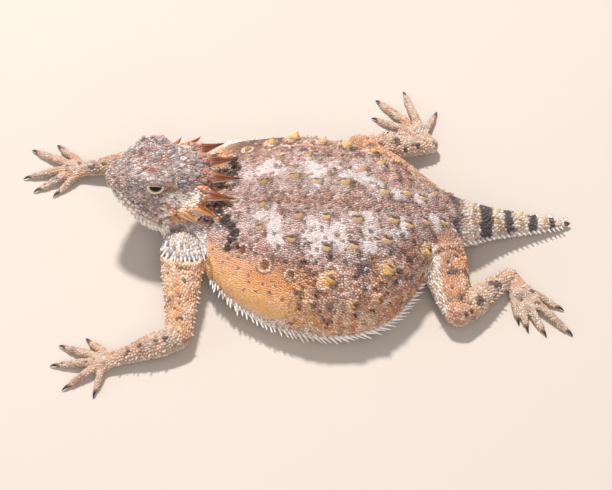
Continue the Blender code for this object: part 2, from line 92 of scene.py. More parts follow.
def noise(p, size, seed=0, octaves=2):
    """Smooth noise, about 0 to 1, of features size mm across (size may be one per axis)."""
    total, weight = 0.0, 0.0
    for o in range(octaves):
        q = np.asarray(p, float) / (np.asarray(size, float) / 2**o) + 17.3 * o
        i = np.floor(q).astype(np.int64)
        f = q - i
        f = f * f * (3 - 2 * f)
        out = 0.0
        for dx in (0, 1):
            for dy in (0, 1):
                for dz in (0, 1):
                    n = ((i[..., 0] + dx) * 374761393 + (i[..., 1] + dy) * 668265263 + (i[..., 2] + dz) * 1442695041 + (seed + o) * 144665) & 0xFFFFFFFF
                    n = ((n ^ (n >> 13)) * 1274126177) & 0xFFFFFFFF
                    v = ((n ^ (n >> 16)) & 0xFFFF) / 65535.0
                    w = (f[..., 0] if dx else 1 - f[..., 0]) * (f[..., 1] if dy else 1 - f[..., 1]) * (f[..., 2] if dz else 1 - f[..., 2])
                    out = out + v * w
        total = total + out * 0.5**o
        weight += 0.5**o
    return total / weight


def rgb(r, g, b):
    """A colour as it looks, 0 to 255, made linear."""
    c = np.array([r, g, b], float) / 255
    return np.where(c <= 0.04045, c / 12.92, ((c + 0.055) / 1.055) ** 2.4)


def blend(colour, other, amount):
    a = np.clip(np.asarray(amount, float), 0, 1)[..., None]
    return colour * (1 - a) + other * a


# ---- the forms, as in the solids -----------------------------------------------------
HEAD_ORIGIN = np.array([-29.4, 8.5, 9.2])
HEAD_YAW, HEAD_PITCH = math.radians(10.1), math.radians(12.3)
EYE_AT, EYE_R = (16.1, 6.3, 13.7), 2.65
TAIL_TIP = (76.0, 6.8, 1.2)

TRUNK_X = [-32, -30, -27, -22, -15, -8, -1.6, 7.7, 17, 25, 31, 35, 40, 44, 47.5]
TRUNK_NEAR = [-9, -13, -17.5, -24.2, -30, -33.8, -36.1, -37.2, -35.2, -29.6, -21, -14, -8.5, -5.8, -4.5]
TRUNK_FAR = [15, 19, 23, 26.0, 27.4, 27.6, 27.2, 25.8, 23.2, 19.6, 15.8, 13, 10.4, 8.6, 7.4]
NEAR_Z = [8, 7.5, 7.0, 6.2, 5.4, 5.2, 5, 5, 5, 5.2, 5.6, 6, 6.4, 6.4, 6.4]
FAR_Z = [11, 12, 13, 13.4, 13, 12.4, 11.8, 11, 10.2, 9.4, 8.8, 8.2, 7.6, 7.2, 6.8]
TOP_X = [-32, -30, -24, -18, -10, -4, 6, 16, 25, 32, 38, 44, 47.5]
TOP_Y = [4.5, 4, 2.6, 0.4, -3.2, -5.2, -6.6, -6.2, -4.6, -2.6, -0.6, 1.0, 1.6]
TOP_Z = [13.6, 15.2, 17.9, 20.4, 24.0, 26.0, 27.0, 26.2, 23.4, 19.6, 16.2, 13.4, 12.2]
BELLY_X = [-32, -28, -20, -8, 20, 32, 40, 47.5]
BELLY_Z = [4.5, 2.6, 0.2, -2.2, -2.4, -0.6, 1.2, 2.6]


def trunk_back(x, u):
    """A point of the back: u is -1 at the near fringe, 0 on the spine line, 1 at the far fringe."""
    x, u = np.asarray(x, float), np.asarray(u, float)
    near = u < 0
    edge = np.where(near, smooth(TRUNK_X, TRUNK_NEAR, x), smooth(TRUNK_X, TRUNK_FAR, x))
    zn, zf = smooth(TRUNK_X, NEAR_Z, x), smooth(TRUNK_X, FAR_Z, x)
    yt, zt = smooth(TOP_X, TOP_Y, x), smooth(TOP_X, TOP_Z, x)
    c = np.abs(u) ** (1 / 0.92)
    s = np.sqrt(np.maximum(1 - c * c, 0))
    z0 = np.where(near, zn, zf) * c + (zn + zf) / 2 * (1 - c)
    return np.stack([x + 0 * u, yt + (edge - yt) * np.abs(u), z0 + (zt - z0) * s**0.86], -1)


def lateral(p):
    """u of points on or near the trunk."""
    yt = smooth(TOP_X, TOP_Y, p[..., 0])
    yn, yf = smooth(TRUNK_X, TRUNK_NEAR, p[..., 0]), smooth(TRUNK_X, TRUNK_FAR, p[..., 0])
    return np.where(p[..., 1] < yt, -(yt - p[..., 1]) / (yt - yn), (p[..., 1] - yt) / (yf - yt))


def trunk_rings(count=80, dorsal=45, ventral=25):
    rings = []
    for x in np.linspace(-32, 47.5, count):
        u = np.cos(np.linspace(0, math.pi, dorsal))
        back = trunk_back(np.full(dorsal, x), -np.sign(u) * np.abs(u) ** 0.92)
        yn, yf = smooth(TRUNK_X, TRUNK_NEAR, x), smooth(TRUNK_X, TRUNK_FAR, x)
        zn, zf = smooth(TRUNK_X, NEAR_Z, x), smooth(TRUNK_X, FAR_Z, x)
        yt, zb = smooth(TOP_X, TOP_Y, x), smooth(BELLY_X, BELLY_Z, x)
        t = np.linspace(0, math.pi, ventral + 2)[1:-1]
        far = t < math.pi / 2
        side, q = np.where(far, yf, yn), np.where(far, zf, zn)
        c = np.abs(np.cos(t))
        low = q * c + (zn + zf) / 2 * (1 - c) - 0.9 * np.sin(t) ** 0.3
        z = low - (low - zb) * np.sin(t) ** 0.7
        belly = np.stack([np.full(ventral, x), yt + (side - yt) * c**0.8 * 0.985, np.maximum(z, 0)], 1)
        rings.append(np.vstack([back, belly]))
    return rings


HEAD_X = [-0.9, 1.0, 4, 9, 13.5, 17.5, 21, 24.2, 26.2, 27.5]
HEAD_SECTION = {
    "top": [(0, v) for v in (12.8, 14.2, 15.6, 16.7, 17.1, 16.5, 15.3, 13.4, 11.9, 10.9)],
    "brow_in": [(3.6, 12.2), (4.8, 13.4), (5.4, 14.6), (5.6, 16.2), (5.9, 17.3), (5.6, 16.9), (4.2, 15.4), (2.8, 13.3), (1.9, 11.8), (1.3, 10.8)],
    "brow": [(5.6, 10.2), (7.1, 11.0), (7.8, 12.4), (8.0, 14.4), (8.7, 16.9), (8.3, 16.9), (6.3, 15.1), (4.1, 12.8), (2.8, 11.2), (1.9, 10.2)],
    "orbit": [(6.9, 8.6), (9.0, 9.2), (10.6, 9.9), (9.9, 11.2), (8.7, 12.8), (8.3, 12.8), (7.2, 12.2), (5.0, 10.9), (3.4, 10.0), (2.3, 9.4)],
    "cheek": [(7.6, 6.8), (10.4, 7.3), (12.6, 7.9), (12.9, 7.8), (12.2, 7.6), (10.8, 7.6), (8.7, 8.1), (6.1, 8.7), (4.1, 8.9), (2.6, 8.7)],
    "jaw": [(6.9, 4.4), (9.4, 4.2), (11.8, 3.8), (12.9, 2.6), (12.7, 1.2), (11.6, 1.7), (9.4, 3.6), (6.5, 5.8), (4.4, 7.0), (2.6, 7.7)],
    "under": [(4.2, 2.8), (6.0, 2.2), (7.6, 1.4), (8.0, 0.3), (7.8, -0.4), (7.0, 0.3), (5.6, 2.3), (3.9, 4.7), (2.6, 6.1), (1.6, 7.0)],
    "chin": [(0, v) for v in (2.6, 1.8, 1.0, 0.2, -0.2, 0.3, 2.0, 4.3, 5.8, 6.8)],
}
MOUTH_X = [10.2, 11.0, 12.4, 15, 19, 23, 26, 28]
MOUTH_Z = [1.0, 3.4, 4.4, 4.6, 5.2, 6.6, 7.9, 8.5]
HORNS = {  # in the head's axes on the left side: root, tip, width and height at the root
    "occipital_inner": ((1.2, 3.0, 13.0), (-9.3, 3.7, 13.1), 2.3, 1.8),
    "occipital_outer": ((2.4, 8.2, 11.6), (-6.6, 10.7, 12.2), 2.3, 1.8),
    "temporal_rear": ((4.9, 10.3, 9.3), (-0.7, 15.4, 9.8), 2.35, 1.65),
    "temporal_mid": ((8.3, 11.4, 7.9), (4.45, 16.5, 8.3), 1.7, 1.3),
    "temporal_front": ((11.2, 11.2, 6.7), (8.4, 14.7, 6.6), 1.45, 1.1),
}

FWD = np.array([-math.cos(HEAD_YAW) * math.cos(HEAD_PITCH), -math.sin(HEAD_YAW) * math.cos(HEAD_PITCH), math.sin(HEAD_PITCH)])
LEFT = np.array([math.sin(HEAD_YAW), -math.cos(HEAD_YAW), 0.0])
CROWN = np.cross(FWD, LEFT)
HEAD_AXES = np.stack([FWD, LEFT, CROWN])


def from_head(p):
    return HEAD_ORIGIN + np.asarray(p, float) @ HEAD_AXES


def to_head(p):
    return (np.asarray(p, float) - HEAD_ORIGIN) @ HEAD_AXES.T


def ring_spline(points, count):
    p = np.asarray(points, float)
    n = len(p)
    t = np.arange(count) * n / count
    i = t.astype(int)
    f = (t - i)[:, None]
    a, b, c, d = p[(i - 1) % n], p[i % n], p[(i + 1) % n], p[(i + 2) % n]
    return 0.5 * (2 * b + (c - a) * f + (2 * a - 5 * b + 4 * c - d) * f**2 + (3 * b - a - 3 * c + d) * f**3)


def head_section(x, count):
    half = [(smooth(HEAD_X, [p[0] for p in s], x), smooth(HEAD_X, [p[1] for p in s], x)) for s in HEAD_SECTION.values()]
    return ring_spline(half + [(-y, z) for y, z in half[-2:0:-1]], count)


def head_rings(stations=60, count=72):
    rings = []
    for x in np.linspace(HEAD_X[0], HEAD_X[-1], stations):
        s = head_section(x, count)
        rings.append(from_head(np.column_stack([np.full(count, x), s])))
    last = rings[-1]
    mid = last.mean(axis=0)
    for k, a in ((0.9, 0.22), (0.74, 0.52), (0.52, 0.74), (0.26, 0.85)):
        rings.append(mid + (last - mid) * k + FWD * a)
    return rings


NECK = [
    (-17.0, 0.5, 12.5, 9.0, 6.5), (-21.0, 1.8, 12.6, 10.8, 6.8), (-26.0, 3.9, 11.6, 12.4, 7.8), (-31.0, 4.6, 9.8, 13.0, 8.2),
    (-36.0, 4.6, 9.2, 11.8, 6.8), (-40.0, 4.6, 9.6, 8.8, 4.8), (-42.4, 4.6, 10.2, 4.6, 2.4),
]
TAIL = [
    (38.0, 0.0, 8.6, 8.6, 6.6), (43.0, 0.9, 8.2, 7.6, 5.9), (47.5, 1.8, 7.0, 6.4, 5.2), (52.0, 2.9, 5.6, 5.1, 4.4),
    (58.0, 4.2, 4.0, 4.0, 3.6), (64.0, 5.2, 2.8, 3.1, 2.7), (70.0, 6.1, 1.9, 2.1, 1.9), (74.0, 6.6, 1.35, 1.2, 1.2),
]


def sweep_x(stations, steps, sides, tip=None):
    s = np.array(stations, float)
    key = s[:, 0] if s[-1, 0] > s[0, 0] else -s[:, 0]
    rings = []
    for t in np.linspace(key[0], key[-1], steps):
        x, y, z, w, h = (smooth(key, s[:, i], t) for i in range(5))
        a = np.linspace(0, 2 * math.pi, sides, endpoint=False)
        ring = np.stack([np.full(sides, x), y + w * np.cos(a), z + h * np.sin(a)], 1)
        ring[:, 2] = np.maximum(ring[:, 2], 0.0)
        rings.append(ring)
    if tip is not None:
        last = rings[-1]
        mid = last.mean(axis=0)
        rings.append(mid + (last - mid) * 0.25 + (np.array(tip) - mid) * 0.9)
    return rings


UPPER = {
    "arm_L": ((-33.6, -9.5, 9.8), (-33.8, -36.2, 5.0)),
    "arm_R": ((-24.0, 15.5, 13.0), (-43.2, 26.6, 6.8)),
    "leg_L": ((35.5, -3.5, 9.0), (41.0, -28.6, 5.4)),
    "leg_R": ((32.5, 6.5, 9.6), (14.6, 29.8, 8.2)),
}
LOWER = {
    "arm_L": ((-33.8, -36.2, 4.8), (-50.4, -41.6, 2.7)),
    "arm_R": ((-43.2, 26.6, 6.8), (-62.2, 26.0, 3.2)),
    "leg_L": ((41.0, -28.6, 5.0), (56.0, -13.4, 3.1)),
    "leg_R": ((14.6, 29.8, 7.8), (36.2, 34.4, 3.6)),
}
UPPER_R = {"arm": [(0, 6.4), (0.35, 5.7), (0.7, 4.6), (1, 3.7)], "leg": [(0, 7.2), (0.4, 6.7), (0.75, 5.4), (1, 4.2)]}
LOWER_R = {"arm": [(0, 3.5), (0.3, 3.9), (0.7, 3.1), (1, 2.4)], "leg": [(0, 4.1), (0.3, 4.4), (0.7, 3.3), (1, 2.6)]}
FEET = {
    "arm_L": {
        "from": (-50.0, -41.6, 2.7), "palm": (-54.6, -42.4, 1.9), "wide": 3.4,
        "toes": [((-53.6, -39.8), (-57.6, -35.4), 1.15), ((-56.4, -40.6), (-64.0, -37.0), 1.15), ((-57.4, -42.6), (-65.6, -42.6), 1.15), ((-56.6, -44.6), (-62.4, -49.0), 1.1), ((-54.4, -45.2), (-55.6, -50.4), 1.05)],
    },
    "arm_R": {
        "from": (-61.8, 26.0, 3.2), "palm": (-66.6, 26.6, 2.0), "wide": 3.6,
        "toes": [((-65.2, 29.2), (-70.6, 35.4), 1.15), ((-68.4, 28.8), (-77.2, 34.0), 1.15), ((-69.6, 26.6), (-78.4, 24.9), 1.15), ((-68.6, 24.6), (-75.4, 20.6), 1.15), ((-66.2, 23.6), (-70.2, 19.4), 1.05)],
    },
    "leg_L": {
        "from": (56.0, -13.6, 3.1), "palm": (59.0, -19.4, 2.3), "wide": 3.4,
        "toes": [((56.8, -21.0), (57.4, -26.0), 1.05), ((58.4, -22.2), (59.6, -28.6), 1.15), ((60.2, -22.4), (63.8, -30.2), 1.2), ((61.6, -21.2), (70.2, -30.4), 1.2), ((61.8, -18.8), (68.0, -22.4), 1.05)],
    },
    "leg_R": {
        "from": (36.2, 34.6, 3.5), "palm": (32.4, 40.0, 2.4), "wide": 3.4,
        "toes": [((30.0, 39.6), (25.0, 41.4), 1.05), ((29.8, 41.6), (21.6, 46.8), 1.15), ((31.2, 43.0), (22.4, 53.4), 1.2), ((33.0, 43.4), (29.6, 56.4), 1.2), ((34.8, 41.6), (37.6, 48.2), 1.05)],
    },
}


def tube(path, radii, sides, flat=1.0):
    path = [Vector(p) for p in path]
    rings = []
    for i, p in enumerate(path):
        d = (path[min(i + 1, len(path) - 1)] - path[max(i - 1, 0)]).normalized()
        side = d.cross(Vector((0, 0, 1))).normalized()
        top = side.cross(d).normalized()
        a = np.linspace(0, 2 * math.pi, sides, endpoint=False)
        rings.append(np.array(p) + np.outer(np.cos(a) * radii[i], side) + np.outer(np.sin(a) * radii[i] * flat, top))
    for end in (0, -1):
        d = path[0] - path[1] if end == 0 else path[-1] - path[-2]
        d = np.array(d.normalized())
        base = rings[end]
        mid = base.mean(axis=0)
        extra = [mid + (base - mid) * k + d * radii[end] * a * flat for k, a in ((0.92, 0.34), (0.75, 0.6), (0.5, 0.8), (0.2, 0.92))]
        rings = extra[::-1] + rings if end == 0 else rings + extra
    return rings


def limb_rings(ends, profile, steps=24, sides=28):
    a, b = Vector(ends[0]), Vector(ends[1])
    t = np.linspace(0, 1, steps)
    xs, rs = zip(*profile)
    return tube([a.lerp(b, v) for v in t], [float(smooth(xs, rs, v)) for v in t], sides, 0.92)


def palm_rings(foot, sides=24, steps=10):
    a, b = Vector(foot["from"]), Vector(foot["palm"])
    end = b + (b - a).normalized() * 2.0
    end.z = 1.5
    path = [a, a.lerp(b, 0.5), b, end]
    t = np.linspace(0, 3, steps)
    pts = [path[min(int(v), 2)].lerp(path[min(int(v), 2) + 1], v - min(int(v), 2)) for v in t]
    wide = [float(smooth([0, 1, 2, 3], [2.5, 2.7, foot["wide"], foot["wide"] * 0.8], v)) for v in t]
    return tube(pts, wide, sides, 0.66)


def toe_path(toe, steps=14):
    (x0, y0), (x1, y1), r = toe
    root, tip = Vector((x0, y0, 1.9)), Vector((x1, y1, 0.75))
    back = root - (tip - root).normalized() * 1.6
    path, radii = [], []
    for v in np.linspace(0, 1, steps):
        p = back.lerp(tip, v)
        p.z = float(smooth([0, 0.35, 0.7, 1], [1.9, 2.0, 1.3, 0.85], v))
        path.append(p)
        knuckle = 0.07 * math.sin(v * 4 * math.pi) ** 2
        radii.append((r + 0.05) * (float(smooth([0, 0.5, 0.8, 1], [1.12, 1.0, 0.92, 0.8], v)) + knuckle - 0.03))
    return path, radii


def loft(rings):
    """Vertices and triangles over rings of equal length, each end closed by a fan."""
    rings = np.asarray(rings, float)
    n, m = rings.shape[:2]
    verts = np.vstack([rings.reshape(-1, 3), rings[0].mean(0), rings[-1].mean(0)])
    j = np.arange(m)
    k = (j + 1) % m
    tris = []
    for i in range(n - 1):
        a, b, c, d = i * m + j, i * m + k, (i + 1) * m + k, (i + 1) * m + j
        tris += [np.stack([a, b, c], 1), np.stack([a, c, d], 1)]
    tris.append(np.stack([k, j, np.full(m, n * m)], 1))
    tris.append(np.stack([(n - 1) * m + j, (n - 1) * m + k, np.full(m, n * m + 1)], 1))
    tris = np.vstack(tris)
    a, b, c = (verts[tris[:, q]] for q in range(3))
    if dot(a, np.cross(b, c)).sum() < 0:
        tris = tris[:, ::-1]
    return verts, tris


def normals(verts, tris):
    a, b, c = (verts[tris[:, q]] for q in range(3))
    fn = np.cross(b - a, c - a)
    n = np.zeros_like(verts)
    for q in range(3):
        for ax in range(3):
            n[:, ax] += np.bincount(tris[:, q], fn[:, ax], len(verts))
    return unit(n)


def new_mesh(name, verts, tris, colours=None, uv=None):
    """A smooth mesh of triangles in metres, with its paint and, for a coat, its map."""
    me = bpy.data.meshes.new(name)
    v = np.ascontiguousarray(metres(verts), dtype=np.float32)
    f = np.ascontiguousarray(tris, dtype=np.int32)
    me.vertices.add(len(v))
    me.vertices.foreach_set("co", v.ravel())
    me.loops.add(f.size)
    me.loops.foreach_set("vertex_index", f.ravel())
    me.polygons.add(len(f))
    me.polygons.foreach_set("loop_start", np.arange(0, f.size, 3, dtype=np.int32))
    me.update(calc_edges=True)
    me.validate()
    me.shade_smooth()
    if colours is not None:
        a = me.color_attributes.new("paint", "FLOAT_COLOR", "POINT")
        a.data.foreach_set("color", np.column_stack([np.clip(colours, 0, 1), np.ones(len(colours))]).astype(np.float32).ravel())
    if uv is not None:
        layer = me.uv_layers.new(name="OFBake")
        layer.data.foreach_set("uv", uv[f.ravel()].astype(np.float32).ravel())
    ob = bpy.data.objects.new(name, me)
    bpy.context.scene.collection.objects.link(ob)
    return ob


def horn_axes(spec, sgn):
    root, tip, wide, high = spec
    a, b = np.array([root[0], root[1] * sgn, root[2]]), np.array([tip[0], tip[1] * sgn, tip[2]])
    length = np.linalg.norm(b - a)
    d = (b - a) / length
    across = unit(np.cross(d, (0, 0, 1.0)))
    return a, d, length, across, np.cross(across, d)


def collar_rings(spec, sgn, sides=28):
    """The sleeve of scaly skin a horn grows out of."""
    a, d, length, across, top = horn_axes(spec, sgn)
    q = 2 * math.pi * np.arange(sides) / sides
    reach = min(0.24 * length, 2.2)
    rings = []
    for along, grow in ((-1.6, 0.2), (-0.8, 0.45), (0, 0.55), (reach * 0.4, 0.5), (reach * 0.75, 0.4), (reach, 0.2), (reach + 0.15, -0.5)):
        t = max(along, 0) / length
        s = (1 - t) ** 1.2
        c = a + d * along + top * 0.09 * length * (t * t - t * 0.8)
        rings.append(from_head(c + np.outer(np.cos(q) * (spec[2] * s + grow), across) + np.outer(np.sin(q) * (spec[3] * s + grow), top)))
    return rings


# ---- the photo's camera, to put marks where the photo shows them -----------------------
ELEV, DIST, FOCAL = math.radians(50), 600.0, 600 / 0.28
VIEWPOINT = np.array([0.0, -math.cos(ELEV) * DIST, math.sin(ELEV) * DIST])


def seen(tree, px, py):
    """The place on the surface that the photo shows at pixel (px, py)."""
    d = np.array([(px - 306) / FOCAL, math.cos(ELEV), -math.sin(ELEV)]) + (245 - py) / FOCAL * np.array([0, math.sin(ELEV), math.cos(ELEV)])
    d = unit(d)
    hit = tree.ray_cast(Vector(VIEWPOINT), Vector(d))[0]
    if hit is None:
        k = (12 - VIEWPOINT[2]) / d[2]
        hit = tree.find_nearest(Vector(VIEWPOINT + d * k))[0]
    return np.array(hit)


def pixel_of(p):
    """Where the photo's camera sees points p."""
    d = p - VIEWPOINT
    depth = d @ np.array([0, math.cos(ELEV), -math.sin(ELEV)])
    return 306 + FOCAL * d[:, 0] / depth, 245 - FOCAL * (d @ np.array([0, math.sin(ELEV), math.cos(ELEV)])) / depth


def other_side(p):
    """The mirror place on the back's other half."""
    return trunk_back(p[..., 0], -lateral(p))


def other_cheek(p):
    h = to_head(p)
    return from_head(h * np.array([1, -1, 1]))


# ---- one skin from all the forms -----------------------------------------------------
LABELS = ["trunk", "head", "neck", "tail"]
FORMS = [  # name, rings, depth of the coat over it
    ("trunk", trunk_rings(), 0.75),
    ("head", head_rings(), 0.45),
    ("neck", sweep_x(NECK, 30, 44), 0.6),
    ("tail", sweep_x(TAIL, 40, 36, TAIL_TIP), 0.5),
]
for spec in HORNS.values():
    for sgn in (1, -1):
        FORMS.append(("head", collar_rings(spec, sgn), 0.45))
AXIS = {"tail": (1, 0.15, -0.1), "neck": (1, -0.1, 0)}
for limb in UPPER:
    kind = limb[:3]
    for part, ends, prof, depth in (("upper", UPPER, UPPER_R, 0.5), ("lower", LOWER, LOWER_R, 0.42)):
        label = f"{part}_{limb}"
        LABELS.append(label)
        AXIS[label] = np.array(ends[limb][1]) - np.array(ends[limb][0])
        FORMS.append((label, limb_rings(ends[limb], prof[kind]), depth))
    label = f"palm_{limb}"
    LABELS.append(label)
    AXIS[label] = np.array(FEET[limb]["palm"]) - np.array(FEET[limb]["from"])
    FORMS.append((label, palm_rings(FEET[limb]), 0.28))
    for n, toe in enumerate(FEET[limb]["toes"]):
        label = f"toe{n}_{limb}"
        LABELS.append(label)
        AXIS[label] = np.array([toe[1][0] - toe[0][0], toe[1][1] - toe[0][1], -0.4])
        path, radii = toe_path(toe)
        FORMS.append((label, tube(path, radii, 14), 0.18))

all_v, all_f, cloud_label = [], [], []
count = 0
for label, rings, depth in FORMS:
    v, f = loft(rings)
    v = v - normals(v, f) * depth
    v[:, 2] = np.maximum(v[:, 2], 0.32 if not label.startswith(("toe", "palm")) else 0.2)
    all_v.append(v)
    all_f.append(f + count)
    cloud_label.append(np.full(len(v), LABELS.index(label)))
    count += len(v)
cloud = np.vstack(all_v)
cloud_label = np.concatenate(cloud_label)

VOXEL = 0.43
me = bpy.data.meshes.new("forms")
me.from_pydata(cloud.tolist(), [], np.vstack(all_f).tolist())
ob = bpy.data.objects.new("forms", me)
bpy.context.scene.collection.objects.link(ob)
mod = ob.modifiers.new("remesh", "REMESH")
mod.mode, mod.voxel_size, mod.adaptivity = "VOXEL", VOXEL, 0.0
dg = bpy.context.evaluated_depsgraph_get()
done = bpy.data.meshes.new_from_object(ob.evaluated_get(dg))
V = np.zeros(len(done.vertices) * 3)
done.vertices.foreach_get("co", V)
V = V.reshape(-1, 3)
done.calc_loop_triangles()
F = np.zeros(len(done.loop_triangles) * 3, dtype=np.int32)
done.loop_triangles.foreach_get("vertices", F)
F = F.reshape(-1, 3).astype(np.int64)
bpy.data.objects.remove(ob, do_unlink=True)
bpy.data.meshes.remove(me)
bpy.data.meshes.remove(done)
E = np.vstack([F[:, [0, 1]], F[:, [1, 2]], F[:, [2, 0]]])
E = np.unique(np.sort(E, axis=1), axis=0)
DEG = np.bincount(E.ravel(), minlength=len(V)).astype(float)


def average(field):
    """Mean of each vertex's neighbours."""
    out = np.zeros_like(field)
    for ax in range(field.shape[1]):
        out[:, ax] = (np.bincount(E[:, 0], field[E[:, 1], ax], len(V)) + np.bincount(E[:, 1], field[E[:, 0], ax], len(V))) / DEG
    return out


def nearest_cloud(points):
    out = np.empty(len(points), dtype=int)
    for i, p in enumerate(points):
        out[i] = CLOUD_TREE.find(p)[1]
    return out


CLOUD_TREE = kdtree.KDTree(len(cloud))
for i, p in enumerate(cloud):
    CLOUD_TREE.insert(p, i)
CLOUD_TREE.balance()
label_of = cloud_label[nearest_cloud(V)]
is_foot = np.array([n.startswith(("toe", "palm")) for n in LABELS])[label_of]
is_head = label_of == LABELS.index("head")
is_trunk = label_of == LABELS.index("trunk")
is_neck = label_of == LABELS.index("neck")
is_tail = label_of == LABELS.index("tail")
is_limb = ~(is_head | is_trunk | is_neck | is_tail | is_foot)

# soften the joins between forms, more on the body than on the toes
for k in range(14):
    w = np.where(is_foot, 0.12 if k < 3 else 0.0, np.where(is_head, 0.25 if k < 8 else 0.0, 0.5))[:, None]
    V = V + (average(V) - V) * w
    if k % 2:
        V = V - (average(V) - V) * w * 0.6
V[:, 2] = np.maximum(V[:, 2], 0.2)

# ---- sculpting -----------------------------------------------------------------------
N = normals(V, F)
plain = BVHTree.FromPolygons(V.tolist(), F.tolist())

# Enlarged scales of the back: the pixel each shows at in the photo, and its size.
SPINES = {
    "inner": [(263.5, 206, 1), (298.2, 217.5, 1.15), (325.3, 218.3, 1), (356.8, 221.6, 1.1), (391.2, 221, 1.1), (406.6, 226, 0.9), (423.8, 222.5, 0.9), (442.4, 223, 0.8),
              (264, 184, 1), (293.9, 178.7, 1.15), (316.7, 183, 0.95), (344.3, 184, 1.1), (382.6, 193, 1.05), (404.6, 194.5, 1), (420.9, 199, 0.8), (431.9, 196.5, 0.75)],
    "outer": [(259.7, 228.6, 0.9), (291.5, 240.5, 1.05), (325.5, 248, 1.1), (353, 246.8, 1), (384.5, 241.5, 1.1), (278.2, 159.6, 0.8), (307.4, 157.6, 0.9), (360.6, 170.2, 0.95),
              (378.8, 165.6, 0.9), (336, 166, 0.7), (249, 165, 0.6)],
    "mound": [(329.5, 280.5, 1.15), (386.5, 270, 1.1), (423.3, 250.6, 1.0), (310, 303, 0.6), (352, 304.5, 0.7), (377, 298, 0.75)],
    "rosette": [(228.8, 244.2, 0.8), (242.9, 250, 1.0), (265, 265, 1.05), (291, 274.5, 0.9)],
}
HIDDEN = {  # the far edge, seen edge on or not at all, as (along x, across u)
    "mound": [(-10, 0.78, 0.9), (-3.6, 0.83, 1.1), (4.5, 0.8, 0.8), (11.3, 0.79, 1.1), (18.5, 0.8, 0.9), (25, 0.82, 0.8)],
    "rosette": [(-21, 0.62, 0.9), (-16.5, 0.72, 1.0)],
}
spine_at, spine_size, spine_row = [], [], []
for row, places in SPINES.items():
    for px, py, size in places:
        spine_at.append(seen(plain, px, py))
        spine_size.append(size)
        spine_row.append(row)
for row, places in HIDDEN.items():
    for x, u, size in places:
        spine_at.append(trunk_back(x, u))
        spine_size.append(size)
        spine_row.append(row)
spine_at, spine_size, spine_row = np.array(spine_at), np.array(spine_size), np.array(spine_row)

tree = kdtree.KDTree(len(V))
for i, p in enumerate(V):
    tree.insert(p, i)
tree.balance()
lift = np.zeros(len(V))
spine_dist = np.full(len(V), 99.0)
spine_id = np.zeros(len(V), dtype=int)
for s, p in enumerate(spine_at):
    near = tree.find_range(p, 7.0)
    i = np.array([q[1] for q in near])
    d = np.array([q[2] for q in near])
    closer = d < spine_dist[i]
    spine_dist[i[closer]], spine_id[i[closer]] = d[closer], s
    size, row = spine_size[s], spine_row[s]
    if row == "rosette":
        bump = 0.35 * np.exp(-(((d - 1.75 * size) / 0.42) ** 2)) + 0.2 * np.exp(-((d / 0.8) ** 2))
    elif row == "mound":
        bump = size * 0.95 * np.exp(-((d / (2.5 * size)) ** 2)) - 0.22 * np.exp(-(((d - 3.6 * size) / 0.6) ** 2))
    else:
        bump = size * 0.55 * np.exp(-((d / 2.2) ** 2))
    lift[i] = np.where(np.abs(bump) > np.abs(lift[i]), bump, lift[i])
U = lateral(V)
H = to_head(V)
dorsal = step(-0.1, 0.35, N[:, 2])
lumps = noise(V, 3.2, 3, 2) - 0.5
wrinkle = 1 - 2 * np.abs(noise(V, (3.4, 1.5, 1.5), 9, 2) - 0.5)
flank = is_trunk * step(0.55, 0.75, np.abs(U)) * dorsal
rear_flank = flank * step(-12, 2, V[:, 0])
lift += is_trunk * (1 - 0.8 * flank * (1 - rear_flank)) * lumps * 0.55 + is_neck * lumps * 0.5
lift += rear_flank * (wrinkle - 0.6) * 0.85
lift += is_trunk * dorsal * (1 - flank) * ((1 - 2 * np.abs(noise(V, (1.4, 3.0, 3.0), 12, 2) - 0.5)) - 0.6) * 0.35
lift += is_limb * (noise(V, 2.4, 5, 2) - 0.5) * 0.35
lift += is_head * (noise(V, 1.7, 6, 2) - 0.5) * 0.34
V = V + N * lift[:, None]


def crease(path, width, depth, region):
    """A fold of the skin along a path, over the vertices of region, with a raised edge."""
    d = np.full(len(V), 99.0)
    for a, b in zip(path[:-1], path[1:]):
        a, b = np.array(a, float), np.array(b, float)
        t = np.clip(dot(V - a, b - a) / dot(b - a, b - a), 0, 1)
        d = np.minimum(d, np.linalg.norm(V - (a + t[:, None] * (b - a)), axis=1))
    return -N * (region * depth * (np.exp(-((d / width) ** 2)) - 0.5 * np.exp(-(((d - width * 1.9) / width) ** 2))))[:, None]


def traced(*pixels):
    return [seen(plain, *q) for q in pixels]


body = (is_trunk | is_neck | is_limb) * 1.0
GULAR = traced((163, 253), (171, 259), (182, 261.5), (194, 260), (206, 255))
ARM_FOLD = traced((177, 268), (187, 269), (197, 273))
FOLDS = [
    (GULAR, 0.62, 0.95), (ARM_FOLD, 0.5, 0.6),
    (traced((206, 257), (211, 268), (213, 280)), 0.7, 0.7),
    (traced((196, 226), (205, 233), (212, 244)), 0.6, 0.4),
    (traced((228, 247), (236, 240), (246, 243)), 0.45, 0.35),
    (traced((240, 243), (252, 252), (262, 256)), 0.4, 0.35),
    (traced((427, 262), (438, 252), (455, 249), (466, 253)), 0.7, 0.8),
    (traced((300, 262), (318, 266), (335, 270), (345, 283)), 0.5, 0.45),
    (traced((318, 291), (336, 296), (352, 300)), 0.45, 0.4),
    (traced((292, 281), (306, 288), (316, 296)), 0.45, 0.4),
    (traced((362, 262), (374, 258), (388, 258), (398, 266)), 0.45, 0.4),
]
for path, width, depth in FOLDS:
    V = V + crease(path, width, depth, body)
    if path is not GULAR and path is not ARM_FOLD and abs(path[0][0]) < 60:
        far = [np.array(other_side(q)) for q in path]
        V = V + crease(far, width, depth * 0.9, is_trunk * 1.0)
V = V + crease([(-36.5, 12.0, 2.5), (-39.0, -4.0, 2.5)], 1.0, 0.8, body)
V = V + crease([(-31, 18.5, 12), (-34, 20.5, 7)], 0.7, 0.6, body)

